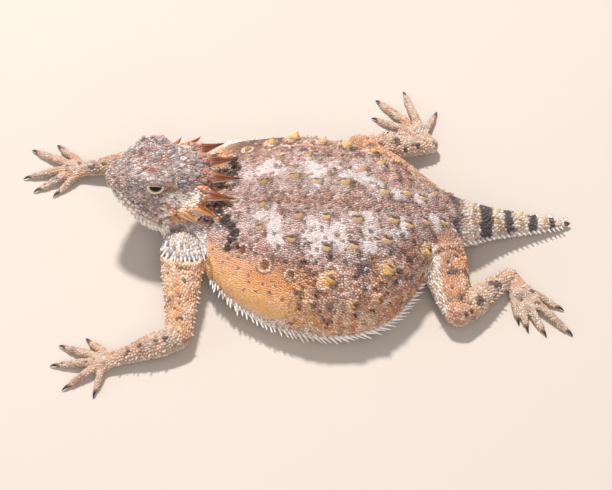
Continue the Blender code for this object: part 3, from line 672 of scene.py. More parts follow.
# the mouth: a groove along the jaw line
H = to_head(V)
side = np.abs(H[:, 1])
line = smooth(MOUTH_X, MOUTH_Z, H[:, 0])
on_mouth = is_head * np.exp(-(((H[:, 2] - line) / 0.32) ** 2)) * step(10.2, 11.5, H[:, 0])
V = V - N * (0.5 * on_mouth)[:, None]
# upper lip stands a little over it
V = V + N * (0.2 * is_head * np.exp(-(((H[:, 2] - line - 0.9) / 0.6) ** 2)) * step(10, 12, H[:, 0]))[:, None]
# nostrils
for sgn in (1, -1):
    d = np.linalg.norm(H - np.array([26.1, 2.1 * sgn, 11.0]), axis=1)
    V = V - N * (0.75 * np.exp(-((d / 0.5) ** 2)) - 0.22 * np.exp(-(((d - 1.0) / 0.45) ** 2)))[:, None]
# ridge from snout to brow, shelf of the brow, furrow between the brows
H = to_head(V)
for sgn in (1, -1):
    y = H[:, 1] * sgn
    ridge = smooth([10, 13.5, 17.5, 21, 24.5, 27], [8.0, 8.8, 8.4, 6.2, 4.0, 2.6], H[:, 0])
    V = V + N * (0.4 * is_head * np.exp(-(((y - ridge) / 0.8) ** 2)) * step(9, 12, H[:, 0]) * step(27.5, 25.5, H[:, 0]) * step(0, 0.4, N @ CROWN))[:, None]
V = V - N * (0.6 * is_head * np.exp(-((H[:, 1] / 2.6) ** 2)) * step(7, 11, H[:, 0]) * step(22, 18, H[:, 0]) * step(0.2, 0.7, N @ CROWN))[:, None]

# eye sockets: open in front of each eye, lidded round it
LID_OUT, LID_UP, LID_DOWN = math.radians(39), math.radians(15), math.radians(27)


def lid_angle(c, s):
    """Half-angle of the opening in the direction (c forwards, s upwards)."""
    v = np.where(s > 0, LID_UP, LID_DOWN)
    return 1 / np.sqrt((c / LID_OUT) ** 2 + (s / v) ** 2)


EYES = {}
for sgn, tag in ((1, "L"), (-1, "R")):
    centre = from_head((EYE_AT[0], EYE_AT[1] * sgn, EYE_AT[2]))
    out = unit(LEFT * sgn + CROWN * 0.22 + FWD * 0.08)
    fore = unit(FWD - out * dot(FWD, out))
    up = np.cross(out, fore) * -sgn
    up = up if dot(up, CROWN) > 0 else -up
    EYES[tag] = (centre, out, fore, up)
    d = V - centre
    r = np.linalg.norm(d, axis=1)
    a = np.arccos(np.clip(d @ out / np.maximum(r, 1e-6), -1, 1))
    c, s = d @ fore, d @ up
    k = np.maximum(np.hypot(c, s), 1e-6)
    edge = lid_angle(c / k, s / k) + math.radians(7)
    near = (r < EYE_R + 3.2) & (a < 1.9)
    hole = near & (a < edge)
    target = np.where(hole, EYE_R - 0.75, np.maximum(r, EYE_R + 0.28 + 0.25 * np.exp(-((a - edge - 0.1) / 0.15) ** 2)))
    V = np.where(near[:, None], centre + d / r[:, None] * target[:, None], V)

N = normals(V, F)
H = to_head(V)

# ---- which way the scales lie, how large they are ------------------------------------
T = np.zeros_like(V)
for n, label in enumerate(LABELS):
    at = label_of == n
    if label == "trunk":
        u = U[at]
        T[at] = np.stack([np.ones(at.sum()), 0.55 * np.sign(u) * np.abs(u) ** 2, -0.25 * np.abs(u)], 1)
    elif label == "head":
        T[at] = -FWD + np.outer(np.sign(H[at, 1]) * 0.35 * step(4, 12, np.abs(H[at, 1])), LEFT)
    else:
        T[at] = AXIS[label]
T = unit(T)
for _ in range(10):
    T = unit(average(T))
Ns = N.copy()
for _ in range(3):
    Ns = unit(average(Ns))

belly = is_trunk & (N[:, 2] < -0.25)
head_top = is_head & ((N @ CROWN) > 0.45)
front_flank = np.clip(flank - rear_flank, 0, 1)
SPACE = np.full(len(V), 0.6)
SPACE[is_trunk] = (0.475 + 0.14 * (noise(V, 2.4, 15, 1) - 0.3))[is_trunk]
SPACE = np.where(is_trunk, SPACE * (1 - front_flank) + 0.42 * front_flank, SPACE)
SPACE[belly] = 0.9
SPACE[is_neck] = 0.5
SPACE[is_tail] = smooth([42, 60, 76], [0.72, 0.7, 0.45], V[is_tail, 0])
SPACE[is_limb] = 0.62
SPACE[is_foot] = 0.5
SPACE[is_head] = 0.48
SPACE[head_top] = (0.50 + 0.2 * (noise(V, 1.6, 16, 1) - 0.3))[head_top]
SPACE[is_head & (H[:, 0] > 22)] = 0.44
SPACE[is_head & (H[:, 2] < 4)] = 0.55
for tag in EYES:
    d = np.linalg.norm(V - EYES[tag][0], axis=1)
    SPACE[(d < EYE_R + 1.9)] = 0.38
SPACE = average(SPACE[:, None])[:, 0]


# ---- markings ------------------------------------------------------------------------
PALE, PINK, BROWN, DARK = rgb(213, 200, 196), rgb(194, 160, 147), rgb(152, 117, 103), rgb(62, 50, 50)
ORANGE, PEACH, YELLOW = rgb(214, 149, 100), rgb(213, 164, 130), rgb(240, 188, 130)
CREAM, WHITE, GREY = rgb(226, 206, 180), rgb(236, 230, 226), rgb(120, 110, 112)
SPOT = rgb(96, 84, 84)


def marks(pixels, mirror=other_side):
    """Round marks (x, y, z, radius) the photo shows at (pixel, pixel, radius), and their mirror places."""
    out = []
    for px, py, r in pixels:
        q = seen(plain, px, py)
        out.append((*q, r))
        if mirror:
            out.append((*mirror(q), r))
    return out


BLOTCH = marks([(216, 207, 1.2), (220, 213, 1.5), (225, 220, 1.8), (231, 226, 1.8), (235, 233, 1.5), (231, 239, 1.6), (229, 246, 1.4), (238, 247, 0.9)])
DARKS = marks([(303, 264, 1.4), (307, 271, 0.9), (362, 270, 1.8), (356, 277, 1.1), (366, 262, 0.9), (409, 261, 1.5), (402, 253, 1.0), (414, 243, 1.0), (399, 271, 0.9), (298, 252, 0.7),
               (329, 258, 0.8), (358, 256, 0.8), (390, 253, 0.9), (345, 262, 0.8), (316, 262, 0.7), (380, 284, 1.0), (396, 281, 0.8), (411, 276, 1.0), (364, 290, 0.8), (336, 236, 0.6),
               (303, 232, 0.6), (370, 232, 0.7), (287, 262, 0.7), (402, 236, 0.8), (446, 240, 1.2), (452, 232, 1.0)])
FLECKS = marks([(248.5, 282.4, 0.5), (269, 292.6, 0.62), (282.3, 299.6, 0.62), (332.7, 309.4, 0.75), (319, 311, 0.55), (238, 268.5, 0.38), (257, 270, 0.34), (246, 274, 0.3), (262, 284, 0.34),
                (275, 286, 0.42), (255, 291, 0.32), (343, 312, 0.5), (232, 257, 0.3), (250, 262, 0.3), (222, 262, 0.28), (243, 290, 0.3), (296, 292, 0.5)])
LEG_SPOTS = marks([(450.5, 272, 1.25), (465, 272.5, 1.3), (458, 271, 0.8), (461, 298, 1.0), (480, 301, 1.4), (497, 285, 1.6), (490, 283, 0.9), (501, 294, 0.8), (448, 262, 0.6), (455, 256, 0.6),
                   (470, 286, 0.6), (466, 315, 0.8), (489, 312, 0.7), (452, 287, 0.5), (476, 318, 0.6), (532, 291, 0.9), (538, 303, 0.8), (521, 300, 0.6)], None)
ARM_SPOTS = marks([(176, 285, 0.4), (184, 280, 0.4), (180, 297, 0.5), (188, 300, 0.5), (174, 309, 0.45), (187, 315, 0.7), (181, 318, 0.6), (170, 300, 0.35), (193, 290, 0.4), (165, 338, 0.9), (140, 345, 0.8),
                   (127, 352, 0.7), (153, 333, 0.6), (192, 322, 0.5)], None)
FAR_SPOTS = marks([(396, 141, 1.3), (405, 150, 1.0), (380, 144, 0.9), (418, 146, 0.8), (390, 158, 0.9), (92, 166, 0.9), (104, 164, 0.8), (80, 163, 0.7), (386, 155, 0.8)], None)
PALES = marks([(269, 209, 1.9), (273, 221, 2.3), (274, 234, 2.5), (278, 243, 1.5), (259, 216, 1.3), (309, 222, 1.9), (307, 236, 2.3), (315, 249, 2.2), (325, 232, 2.4), (337, 226, 2.2),
               (338, 241, 2.5), (326, 243, 2.0), (369, 218, 2.0), (370, 230, 1.9), (367, 245, 2.4), (402, 221, 1.6), (401, 232, 1.9), (392, 236, 1.6), (433, 219, 1.6), (436, 228, 1.3), (351, 214, 0.7)], None)
PALES += marks([(261, 171, 2.0), (270, 165, 2.4), (280, 170, 2.0), (309, 163, 2.0), (316, 172, 2.6), (320, 183, 1.8), (336, 166, 1.9), (345, 175, 1.7), (362, 178, 2.1), (374, 184, 2.3),
                (358, 168, 1.5), (394, 194, 1.8), (419, 200, 1.8), (248, 176, 1.5)], None)
PALES = [(x, y, z, r * 1.18) for x, y, z, r in PALES]
# painted shadow that the horns cast on the nape, on both sides
HORN_SHADOWS = marks([(213, 172, 0.6), (219, 171, 0.8), (226, 170, 0.8), (232, 168, 0.6), (220, 187.5, 0.7), (227, 187, 0.8), (234, 186.5, 0.8), (208, 205, 0.7), (215, 205, 0.8), (222, 205, 0.9),
              (230, 205.5, 0.8), (199, 218, 0.7), (206, 220, 0.9), (212, 222, 0.8), (188, 225, 0.8), (194, 229, 0.9)])
EMBER = marks([(171, 185, 0.9), (166, 180, 0.6), (169, 208, 1.0), (174, 211, 1.3), (179, 214, 1.4), (184, 218, 1.3), (172, 217, 0.9), (166, 203, 0.7), (190, 219, 1.0), (163, 198, 0.5), (204, 189, 1.2), (206, 199, 1.0)], other_cheek)
RUST = marks([(204, 172, 1.1), (207, 182, 1.2), (198, 180, 0.8), (187, 160, 0.9), (150, 149, 1.2), (142, 153, 1.0), (160, 160, 0.8)], other_cheek)


PINEAL = seen(plain, 182.5, 158.5)


def spots(p, places, seed, ragged=0.45):
    """1 inside round marks (x, y, z, radius), 0 outside, with ragged rims."""
    out = np.zeros(len(p))
    wob = (noise(p, 1.5, seed, 2) - 0.5) * 2 * ragged
    for x, y, z, r in places:
        d = np.linalg.norm(p - (x, y, z), axis=1) / r + wob
        out = np.maximum(out, step(1.15, 0.75, d))
    return out


def gular_y(px):
    """Row of the photo where the fold across the throat lies."""
    return 261.5 - 8.5 * ((px - 184) / 21.5) ** 2


def line_z(x):
    return smooth(MOUTH_X, MOUTH_Z, x)


def paint(p, n, label, sd, sid):
    """Colour of the skin and of the scales at points p with normals n."""
    u = lateral(p)
    x, y, z = p.T
    au = np.abs(u)
    big, mid, fine = noise(p, 9, 21, 2), noise(p, 3.2, 22, 2), noise(p, 1.3, 23, 2)
    size, row = spine_size[sid], spine_row[sid]
    rel = p - spine_at[sid]
    on_back = (row == "inner") | (row == "outer")
    # back: pinkish brown, with pale patches round and before the enlarged scales
    c = blend(BROWN + np.zeros_like(p), PINK, step(0.28, 0.66, mid * 0.6 + big * 0.4))
    c = blend(c, rgb(176, 112, 90), step(0.56, 0.72, noise(p, 2.0, 26, 2)) * 0.45)
    q = np.sqrt(((rel[:, 0] + 1.3) / 1.15) ** 2 + rel[:, 1] ** 2 + rel[:, 2] ** 2)
    patch = step(1.2, 0.7, q / (4.9 * size) + (mid - 0.5) * 1.1 + (fine - 0.5) * 0.35) * on_back
    pale = spots(p, PALES, 44, 0.32) * step(0.0, 0.3, n[:, 2])
    patch = np.maximum(patch * 0.42, pale)
    c = blend(c, PALE * (0.95 + 0.1 * fine[:, None]), patch * 0.95)
    shoulder = step(-10, -22, x) * step(0.62, 0.4, au) * step(0.35, 0.6, mid + 0.1)
    c = blend(c, PALE, shoulder * 0.6)
    stripe = np.exp(-(((u + 0.015) / 0.075) ** 2)) * step(-22, -12, x)
    c = blend(c, blend(PINK, BROWN, 0.45 + 0.4 * (fine - 0.5)), stripe * 0.85)
    # painted shadow: a dark line on the skin just beyond each enlarged scale of the back, on the side away from the
    # near flank
    slit_shadow = np.exp(-(((rel[:, 1] - 1.15 * size) / 0.26) ** 2)) * step(2.1, 1.5, np.abs(rel[:, 0] - 0.3) / size) * on_back * (sd < 3.2)
    c = blend(c, rgb(70, 50, 42), slit_shadow * 0.9)
    # dark crescents behind them, and dark bars between one patch and the next
    rear = np.exp(-(((sd - 2.3 * size) / 0.8) ** 2)) * step(0.15, 0.9, rel[:, 0] / np.maximum(sd, 0.3))
    c = blend(c, rgb(96, 72, 64), rear * (0.2 + 0.8 * step(0.38, 0.6, mid)) * 0.85)
    c = blend(c, rgb(120, 84, 72), step(0.58, 0.72, noise(p, (2.0, 2.6, 2.6), 31, 3)) * 0.55 * (1 - 0.8 * patch))
    c = blend(c, rgb(150, 128, 122), step(0.62, 0.75, noise(p, 1.4, 32, 2)) * 0.45 * patch)
    # flank: smooth orange in front, yellower at the fringe; wrinkled and mottled behind
    side = step(0.56, 0.74, au + (big - 0.5) * 0.2 + (fine - 0.5) * 0.08)
    front = step(9, -9, x + (big - 0.5) * 14 - (au - 0.8) * 22 + (fine - 0.5) * 9)
    gold = blend(blend(ORANGE, PEACH, step(0.3, 0.7, big * 0.7 + fine * 0.3)), YELLOW, step(0.74, 0.93, au + (big - 0.5) * 0.1) * 0.75)
    gold = blend(gold, PINK, step(0.72, 0.58, au) * 0.5)
    wr = 1 - 2 * np.abs(noise(p, (3.4, 1.5, 1.5), 9, 2) - 0.5)
    mott = blend(PINK + np.zeros_like(p), rgb(196, 138, 108), step(0.35, 0.65, fine))
    mott = blend(mott, rgb(222, 196, 178), step(0.84, 0.95, wr) * 0.75)
    mott = blend(mott, rgb(140, 84, 66), step(0.58, 0.42, wr) * 0.7)
    mott = blend(mott, rgb(112, 84, 76), step(0.56, 0.68, noise(p, (2.2, 1.4, 1.4), 33, 2)) * 0.5)
    around = np.column_stack([np.arctan2(y - 3, x - 4) * 30, au * 3, 0 * x])
    streak = noise(around, 0.85, 95, 2)
    rim = step(0.88, 0.96, au + (mid - 0.5) * 0.06) * np.where(u > 0, 0.3, 1.0)
    mott = blend(mott, rgb(222, 150, 100), rim * step(0.62, 0.4, streak) * 0.65)
    mott = blend(mott, rgb(232, 200, 168), rim * step(0.52, 0.66, streak) * 0.65)
    # the far front flank: its own brown, made darker still as painted shade
    far = blend(rgb(120, 95, 86), rgb(148, 110, 90), step(0.3, 0.7, fine * 0.5 + mid * 0.5))
    gold = blend(gold, far, step(0.2, 0.5, u) * step(-25, -19, x + (mid - 0.5) * 5))
    c = blend(c, blend(mott, gold, front), side)
    # a band of grey-white scales with grey dots along the front of the fringe
    band = step(0.955, 0.978, au + (mid - 0.5) * 0.02) * step(8, -4, x + (fine - 0.5) * 6)
    c = blend(c, rgb(216, 206, 200), band * 0.85)
    dots = step(0.56, 0.68, noise(around, 0.85, 96, 1)) * step(0.966, 0.975, au)
    c = blend(c, rgb(98, 86, 88), dots * band * 0.85)
    # painted shade on the skin at the foot of the fringe, between its points
    c = blend(c, rgb(84, 66, 58), step(0.99, 0.999, au) * step(-28, -24, x) * step(35, 31, x) * 0.8)
    # mounds and rosettes
    above = step(0.1, 0.6, (rel[:, 0] * 0.35 + rel[:, 1] * 0.9 * np.where(u > 0, -1.0, 1.0)) / np.maximum(sd, 0.3)) * (row == "mound") * step(0.7, 0.95, size)
    c = blend(c, rgb(222, 202, 192), above * np.exp(-(((sd - 3.7 * size + (mid - 0.5)) / 0.5) ** 2)) * 0.75)
    c = blend(c, rgb(96, 72, 64), above * np.exp(-(((sd - 2.85 * size + (mid - 0.5)) / 0.4) ** 2)) * 0.8)
    mound = (row == "mound") * step(3.0, 1.9, sd / size + (fine - 0.5))
    c = blend(c, rgb(230, 190, 158), mound * 0.85)
    c = blend(c, rgb(222, 176, 96), (row == "mound") * step(1.7, 0.9, sd / size) * 0.8)
    under = step(0.3, 0.8, (rel[:, 0] * 0.6 - rel[:, 1] * 0.5) / np.maximum(sd, 0.3)) * np.exp(-(((sd - 1.9 * size) / 0.55) ** 2)) * (row == "mound")
    c = blend(c, DARK, under * 0.85)
    rose = row == "rosette"
    c = blend(c, rgb(104, 80, 70), rose * step(2.7, 2.1, sd / size) * 0.6)
    c = blend(c, rgb(222, 190, 166), rose * np.exp(-(((sd - 1.7 * size) / 0.28) ** 2)))
    c = blend(c, rgb(158, 112, 82), rose * step(1.25, 0.95, sd / size))
    # dark marks, and the horns' painted shadow on the nape
    c = blend(c, rgb(60, 49, 49), spots(p, BLOTCH, 41, 0.45) * 0.97)
    c = blend(c, rgb(74, 60, 58), spots(p, DARKS, 42, 0.7) * 0.75)
    # painted shadow of the horns on the nape
    horn_shadow = spots(p, HORN_SHADOWS, 45, 0.3)
    c = blend(c, rgb(58, 44, 40), horn_shadow * 0.85)
    c = blend(c, rgb(100, 82, 80), spots(p, FLECKS, 43, 0.3) * 0.8)
    tail_blot = np.exp(-(((x - 41.2) / 2.1) ** 2)) * step(0.05, 0.3, au + (fine - 0.5) * 0.3) * step(-0.2, 0.2, n[:, 2])
    c = blend(c, rgb(84, 74, 78), tail_blot * (0.45 + 0.5 * step(0.35, 0.6, mid)))
    c = blend(c, rgb(226, 214, 204), np.exp(-(((x - 44.9) / 0.7) ** 2)) * step(-0.2, 0.2, n[:, 2]) * 0.8)
    # belly
    below = step(0.1, -0.35, n[:, 2])
    cream = blend(rgb(228, 210, 184), rgb(220, 184, 140), big)
    cream = blend(cream, SPOT, step(0.7, 0.78, noise(p, 2.6, 51, 1)) * 0.6)
    c = blend(c, cream, below)

    # neck: as the shoulders above, white below
    at = label == LABELS.index("neck")
    if at.any():
        q, f, m = p[at], fine[at], mid[at]
        k = blend(rgb(190, 158, 140), rgb(138, 112, 100), step(0.35, 0.65, m))
        k = blend(k, rgb(222, 160, 110), step(0.45, 0.65, noise(q, 3.0, 52, 2)) * 0.5)
        k = blend(k, rgb(60, 49, 49), spots(q, BLOTCH, 41, 0.45) * 0.95)
        # painted shadow of the horns on the nape
        k = blend(k, rgb(58, 44, 40), horn_shadow[at] * 0.85)
        c[at] = k
    # tail: pale with dark bands
    at = label == LABELS.index("tail")
    if at.any():
        q, f, m = p[at], fine[at], mid[at]
        k = blend(rgb(220, 203, 189), rgb(200, 168, 146), step(0.5, 0.75, m))
        k = blend(k, rgb(84, 74, 78), np.exp(-(((q[:, 0] - 41.2) / 2.1) ** 2)) * (0.4 + 0.5 * step(0.35, 0.6, m)))
        for xb, wb in ((49.9, 1.75), (56.5, 1.3), (63.4, 1.15), (69.0, 0.85), (73.4, 0.6)):
            d = np.abs(q[:, 0] - xb) + (f - 0.5) * 1.0
            k = blend(k, rgb(70, 63, 67), step(wb * 1.2, wb * 0.8, d) * step(-0.4, 0.1, n[at, 2]) * 0.93)
        c[at] = blend(k, rgb(228, 212, 190), step(-0.2, -0.6, n[at, 2]))
    # limbs and feet
    for n_label, name in enumerate(LABELS):
        if name in ("trunk", "head", "neck", "tail"):
            continue
        at = label == n_label
        if not at.any():
            continue
        q, f, m, nn = p[at], fine[at], mid[at], n[at]
        k = blend(rgb(216, 166, 126), rgb(218, 186, 160), step(0.3, 0.7, m))
        if name.startswith("upper_leg"):
            a, b = (np.array(v) for v in UPPER[name[6:]])
            along = (q - a) @ (b - a) / ((b - a) @ (b - a)) + (m - 0.5) * 0.3
            k = blend(k, rgb(200, 140, 104), 0.5)
            k = blend(k, rgb(156, 122, 108), step(0.5, 0.68, noise(q, 2.6, 59, 2)) * 0.45)
        if name.startswith("lower_leg"):
            k = k * 1.1
        if name.startswith(("lower", "palm", "toe")):
            k = blend(k, rgb(206, 184, 168), 0.6) * (0.88 if name.startswith("lower_arm") else 0.94)
        k = blend(k, rgb(212, 140, 88), step(0.55, 0.75, noise(q, 3.4, 60, 2)) * 0.4)
        k = blend(k, rgb(134, 114, 110), step(0.62, 0.72, noise(q, 1.9, 61 + n_label, 2)) * 0.5)
        if name.startswith("upper_leg"):
            hip = blend(blend(BROWN + np.zeros_like(q), PINK, step(0.3, 0.65, m)), rgb(196, 128, 92), step(0.55, 0.7, noise(q, 2.4, 57, 2)) * 0.6)
            k = blend(k, hip, step(0.42, 0.18, along) * 0.9)
        if name == "upper_leg_L":
            k = blend(k, rgb(226, 214, 200), step(-1.9, -3.0, q[:, 0] - 36.2 - (q[:, 1] + 3.5) * -0.17 + (f - 0.5) * 1.5) * 0.85)
        k = blend(k, rgb(228, 208, 184), step(-0.15, -0.6, nn[:, 2]) * 0.85)
        c[at] = k
    limb = label > 3
    for places, seed in ((LEG_SPOTS, 71), (ARM_SPOTS, 72), (FAR_SPOTS, 73)):
        c = blend(c, rgb(82, 72, 74), spots(p, places, seed, 0.45) * limb * 0.85 * step(-0.4, 0.1, n[:, 2]))
    # throat: white between the jaw and the fold across the throat, on both sides
    ty = np.abs(y - 4.6)
    throat = (label != 1) * step(-28.5, -30.5, x + (mid - 0.5) * 2) * step(-46, -43, x) * step(16.2, 14.6, ty) * step(13.5, 11.5, z + (fine - 0.5) * 2) * step(-0.6, -0.3, -n[:, 0])
    for q in (p, p * (1, -1, 1) + (0, 9.2, 0)):  # as far as the fold the photo shows, on both sides
        px, py = pixel_of(q)
        fold = gular_y(px) + (fine - 0.5) * 3
        shown = step(160, 164, px) * step(209, 204, px + (mid - 0.5) * 5) * step(222, 226, py) * step(1.5, -1.0, py - fold) * (q[:, 1] < 4.6) * (x < -24) * (z > 3)
        throat = np.maximum(throat, (label != 1) * shown)
    white = blend(rgb(226, 219, 215), rgb(176, 164, 162), step(0.42, 0.68, fine))
    white = blend(white, rgb(122, 108, 108), step(0.58, 0.7, noise(p, 1.0, 56, 2)) * 0.6)
    white = blend(white, rgb(224, 172, 132), step(0.62, 0.74, noise(p, 2.2, 55, 2)) * 0.4)
    white = blend(white, blend(rgb(190, 166, 152), rgb(140, 118, 110), step(0.4, 0.65, fine)), step(0.62, 0.82, n[:, 2] + (mid - 0.5) * 0.2) * 0.4)
    c = blend(c, white, throat * 0.92)

    # head
    at = label == LABELS.index("head")
    if at.any():
        q, f, m, b = p[at], fine[at], mid[at], big[at]
        h = to_head(q)
        hy = np.abs(h[:, 1])
        hs = h * np.array([1, 0, 1]) + np.outer(hy, (0, 1, 0))
        top = step(0.2, 0.6, n[at] @ CROWN)
        v1, v2 = noise(h, 2.6, 80, 2), noise(h, 1.5, 81, 2)
        k = blend(rgb(183, 168, 163), rgb(192, 168, 156), step(0.35, 0.65, v1))
        k = blend(k, rgb(156, 142, 139), top * 0.32)
        k = blend(k, rgb(152, 132, 128), step(0.52, 0.72, v2) * 0.55)
        k = blend(k, rgb(190, 146, 126), step(0.58, 0.72, noise(h, 2.0, 82, 2)) * 0.38)
        cheek = step(13.5, 12.0, h[:, 2]) * step(6.0, 8, hy) * step(-1, 2, h[:, 0]) * step(15.6, 12.8, h[:, 0]) * step(4.5, 6.0, h[:, 2])
        k = blend(k, rgb(254, 237, 224), cheek * (0.82 + 0.18 * step(0.4, 0.6, v2)))
        brow = np.exp(-(((h[:, 0] - 15.5) / 4.2) ** 2)) * step(5.0, 6.8, hy) * step(13.8, 15.0, h[:, 2])
        k = blend(k, rgb(174, 162, 158), brow * 0.75)
        before = np.exp(-(((h[:, 0] - 21) / 2.2) ** 2)) * step(13.5, 11, h[:, 2]) * step(8.5, 10.5, h[:, 2])
        k = blend(k, rgb(206, 186, 178), before * 0.5)
        k = blend(k, rgb(132, 114, 112), np.exp(-(((h[:, 0] - 18.5) / 1.6) ** 2)) * np.exp(-(((h[:, 2] - 7.2) / 1.2) ** 2)) * 0.7)
        jaw = step(line_z(h[:, 0]) + 0.2, line_z(h[:, 0]) - 0.3, h[:, 2]) * step(9.5, 11, h[:, 0])
        k = blend(k, blend(rgb(236, 220, 204), rgb(222, 170, 126), step(0.55, 0.78, m)), jaw * 0.9)
        lip = np.exp(-(((h[:, 2] - line_z(h[:, 0]) - 0.8) / 0.7) ** 2)) * step(11, 13, h[:, 0])
        k = blend(k, rgb(214, 184, 168), lip * 0.7)
        # painted shade: a thin dark line in the groove of the mouth
        k = blend(k, rgb(60, 44, 40), np.exp(-(((h[:, 2] - line_z(h[:, 0])) / 0.16) ** 2)) * step(10.8, 12, h[:, 0]) * 0.7)
        k = blend(k, rgb(232, 220, 208), step(-0.3, -0.7, n[at, 2]) * 0.85)
        k = blend(k, rgb(224, 138, 80), spots(q, EMBER, 84, 0.65) * 0.85)
        k = blend(k, rgb(182, 108, 82), spots(q, RUST, 85, 0.6) * 0.6)
        for name, spec in HORNS.items():
            a, d, length, _, _ = horn_axes(spec, 1)
            t = (hs - a) @ d
            r = np.linalg.norm(hs - a - t[:, None] * d, axis=1)
            warm = rgb(206, 128, 98) if "occipital" in name else rgb(224, 158, 100)
            k = blend(k, warm, step(spec[2] * 1.5, spec[2] * 0.9, r + (f - 0.5) * 1.2) * step(-1.4, -0.2, t) * 0.5)
        for centre, out, fore, up in EYES.values():  # painted shade in the fold under each eye
            d = q - centre
            r = np.maximum(np.linalg.norm(d, axis=1), 1e-6)
            a = np.arccos(np.clip(d @ out / r, -1, 1))
            cc, ss = d @ fore, d @ up
            kk = np.maximum(np.hypot(cc, ss), 1e-6)
            fold = np.exp(-(((a - lid_angle(cc / kk, ss / kk) - 0.42) / 0.09) ** 2)) * step(0.3, -0.3, ss / kk) * (r < EYE_R + 2.5)
            k = blend(k, rgb(104, 82, 76), fold * 0.7)
        spot = np.linalg.norm(q - PINEAL, axis=1)
        k = blend(k, rgb(150, 132, 126), np.exp(-(((spot - 1.3) / 0.4) ** 2)) * 0.6)
        k = blend(k, rgb(70, 56, 52), np.exp(-((spot / 0.3) ** 2)) * 0.9)
        c[at] = k
    return c


skin_colour = paint(V, N, label_of, spine_dist, spine_id)
# painted shade: the skin between the scales is darkened as if in their shade, less on the smooth front flank and on the
# belly, limbs, feet and tail; lighter under the back's pale patches
shade = (0.5 + 0.3 * noise(V, 0.9, 91, 1)) * (1 - front_flank) + (0.82 + 0.18 * noise(V, 0.9, 91, 1)) * front_flank
shade = np.where(belly | is_limb | is_foot | is_tail, shade * 1.2, shade)
shade = shade * (1 + 0.4 * is_trunk * spots(V, PALES, 44, 0.32))
skin = new_mesh("skin", V, F, skin_colour * shade[:, None])

# ---- where the scales sit ------------------------------------------------------------
bvh = BVHTree.FromPolygons(V.tolist(), F.tolist())


def on_skin(p):
    """Nearest point of the skin: place, triangle."""
    co, _, i, _ = bvh.find_nearest(Vector(p))
    return np.array(co), i


roots, root_tri, root_r, root_kind, root_aim = [], [], [], [], []


def place(p, r, kind, aim=None):
    co, i = on_skin(p)
    roots.append(co)
    root_tri.append(i)
    root_r.append(r)
    root_kind.append(kind)
    root_aim.append((0, 0, 0) if aim is None else tuple(unit(np.array(aim, float))))


# enlarged scales of the back
for p, size, row in zip(spine_at, spine_size, spine_row):
    place(p, {"inner": 1.08, "outer": 1.08, "mound": 1.0, "rosette": 0.72}[row] * size, row)
# middling keeled scales among the granules
cand = np.where(is_trunk & (dorsal > 0.8) & (front_flank < 0.3) & (spine_dist > 1.9))[0]
for i in rng.choice(cand, 230, replace=False):
    place(V[i], rng.uniform(0.42, 0.62), "mid")
# flank fringes
for u in (-1.0, 1.0):
    xs = np.linspace(-26.5, 33, 400)
    pts = trunk_back(xs, np.full(400, u))
    arc = np.concatenate([[0], np.cumsum(np.linalg.norm(np.diff(pts, axis=0), axis=1))])
    for a in np.arange(0.3, arc[-1], 1.45):
        b = a + rng.normal(0, 0.13)
        q, q2 = (np.array([np.interp(v, arc, pts[:, k]) for k in range(3)]) for v in (b, b + 0.5))
        tang = unit(q2 - q)
        out = unit(np.cross(tang, (0, 0, 1)) * (1.0 if u < 0 else -1.0))
        if label_of[F[on_skin(q)[1], 0]] != 0:
            continue
        place(q + (0, 0, -0.2), rng.uniform(0.5, 0.62) + 0.12 * float(step(-2, 8, q[0])), "fringe", out + tang * rng.uniform(0.7, 1.15) + (0, 0, rng.normal(0.05, 0.08)))
        if q[0] < 4 + rng.normal(0, 2):  # a second, shorter row above it in front
            w = q + tang * rng.normal(0.7, 0.15) - out * 0.35 + (0, 0, rng.uniform(0.8, 1.1))
            place(w, rng.uniform(0.38, 0.5), "fringe2", out + tang * rng.uniform(1.0, 1.7) + (0, 0, 0.4))
# lips, and the lower jaw's pointed scales, larger to the rear
for sgn in (1, -1):
    for x in np.arange(11.2, 27.2, 1.0):
        sec = head_section(x, 160)
        sec = sec[sec[:, 0] * sgn > 0]
        grow = float(smooth([11, 18, 27], [1.0, 0.75, 0.35], x))
        for drop, r, kind in ((0.7, 0.5, "labial"), (0.9 + 1.3 * grow, 0.42 + 0.3 * grow, "jaw")):
            j = np.argmin(np.abs(sec[:, 1] - line_z(x) + drop) + (np.abs(sec[:, 0]) < 2.0) * 5)
            place(from_head((x, sec[j, 0], sec[j, 1])), r, kind, LEFT * sgn * 0.8 - CROWN * 0.6 - FWD * rng.uniform(0.2, 0.9) if kind == "jaw" else None)
    for x in np.arange(12.2, 27.3, 0.95):
        sec = head_section(x, 160)
        sec = sec[sec[:, 0] * sgn > 0]
        j = np.argmin(np.abs(sec[:, 1] - line_z(x) - 0.7) + (np.abs(sec[:, 0]) < 1.5) * 5)
        place(from_head((x, sec[j, 0], sec[j, 1])), 0.46, "labial")
    # brow scales
    for x in np.linspace(11.0, 19.6, 12):
        sec = head_section(x, 160)
        sec = sec[sec[:, 0] * sgn > 0]
        j = np.argmax(np.abs(sec[:, 0]) * 0.6 + sec[:, 1])
        place(from_head((x, sec[j, 0], sec[j, 1])), 0.45, "brow")
    if sgn > 0:
        place(PINEAL, 0.7, "pineal")
    q = seen(plain, 166.5, 176.5)
    q = q if sgn > 0 else other_cheek(q)
    place(q, 0.85, "browspike", LEFT * sgn * 0.5 - FWD * 0.5 + CROWN * 0.6)
    # larger scales at the rear of the skull, between the horns
    for px, py, r in ((192, 163, 0.6), (199, 166, 0.7), (196, 175, 0.62), (203, 181, 0.6), (199, 188, 0.6), (207, 192, 0.55), (190, 180, 0.55), (187, 171, 0.55), (181, 166, 0.5), (196, 196, 0.5)):
        q = seen(plain, px, py)
        place(q if sgn > 0 else other_cheek(q), r, "boss")
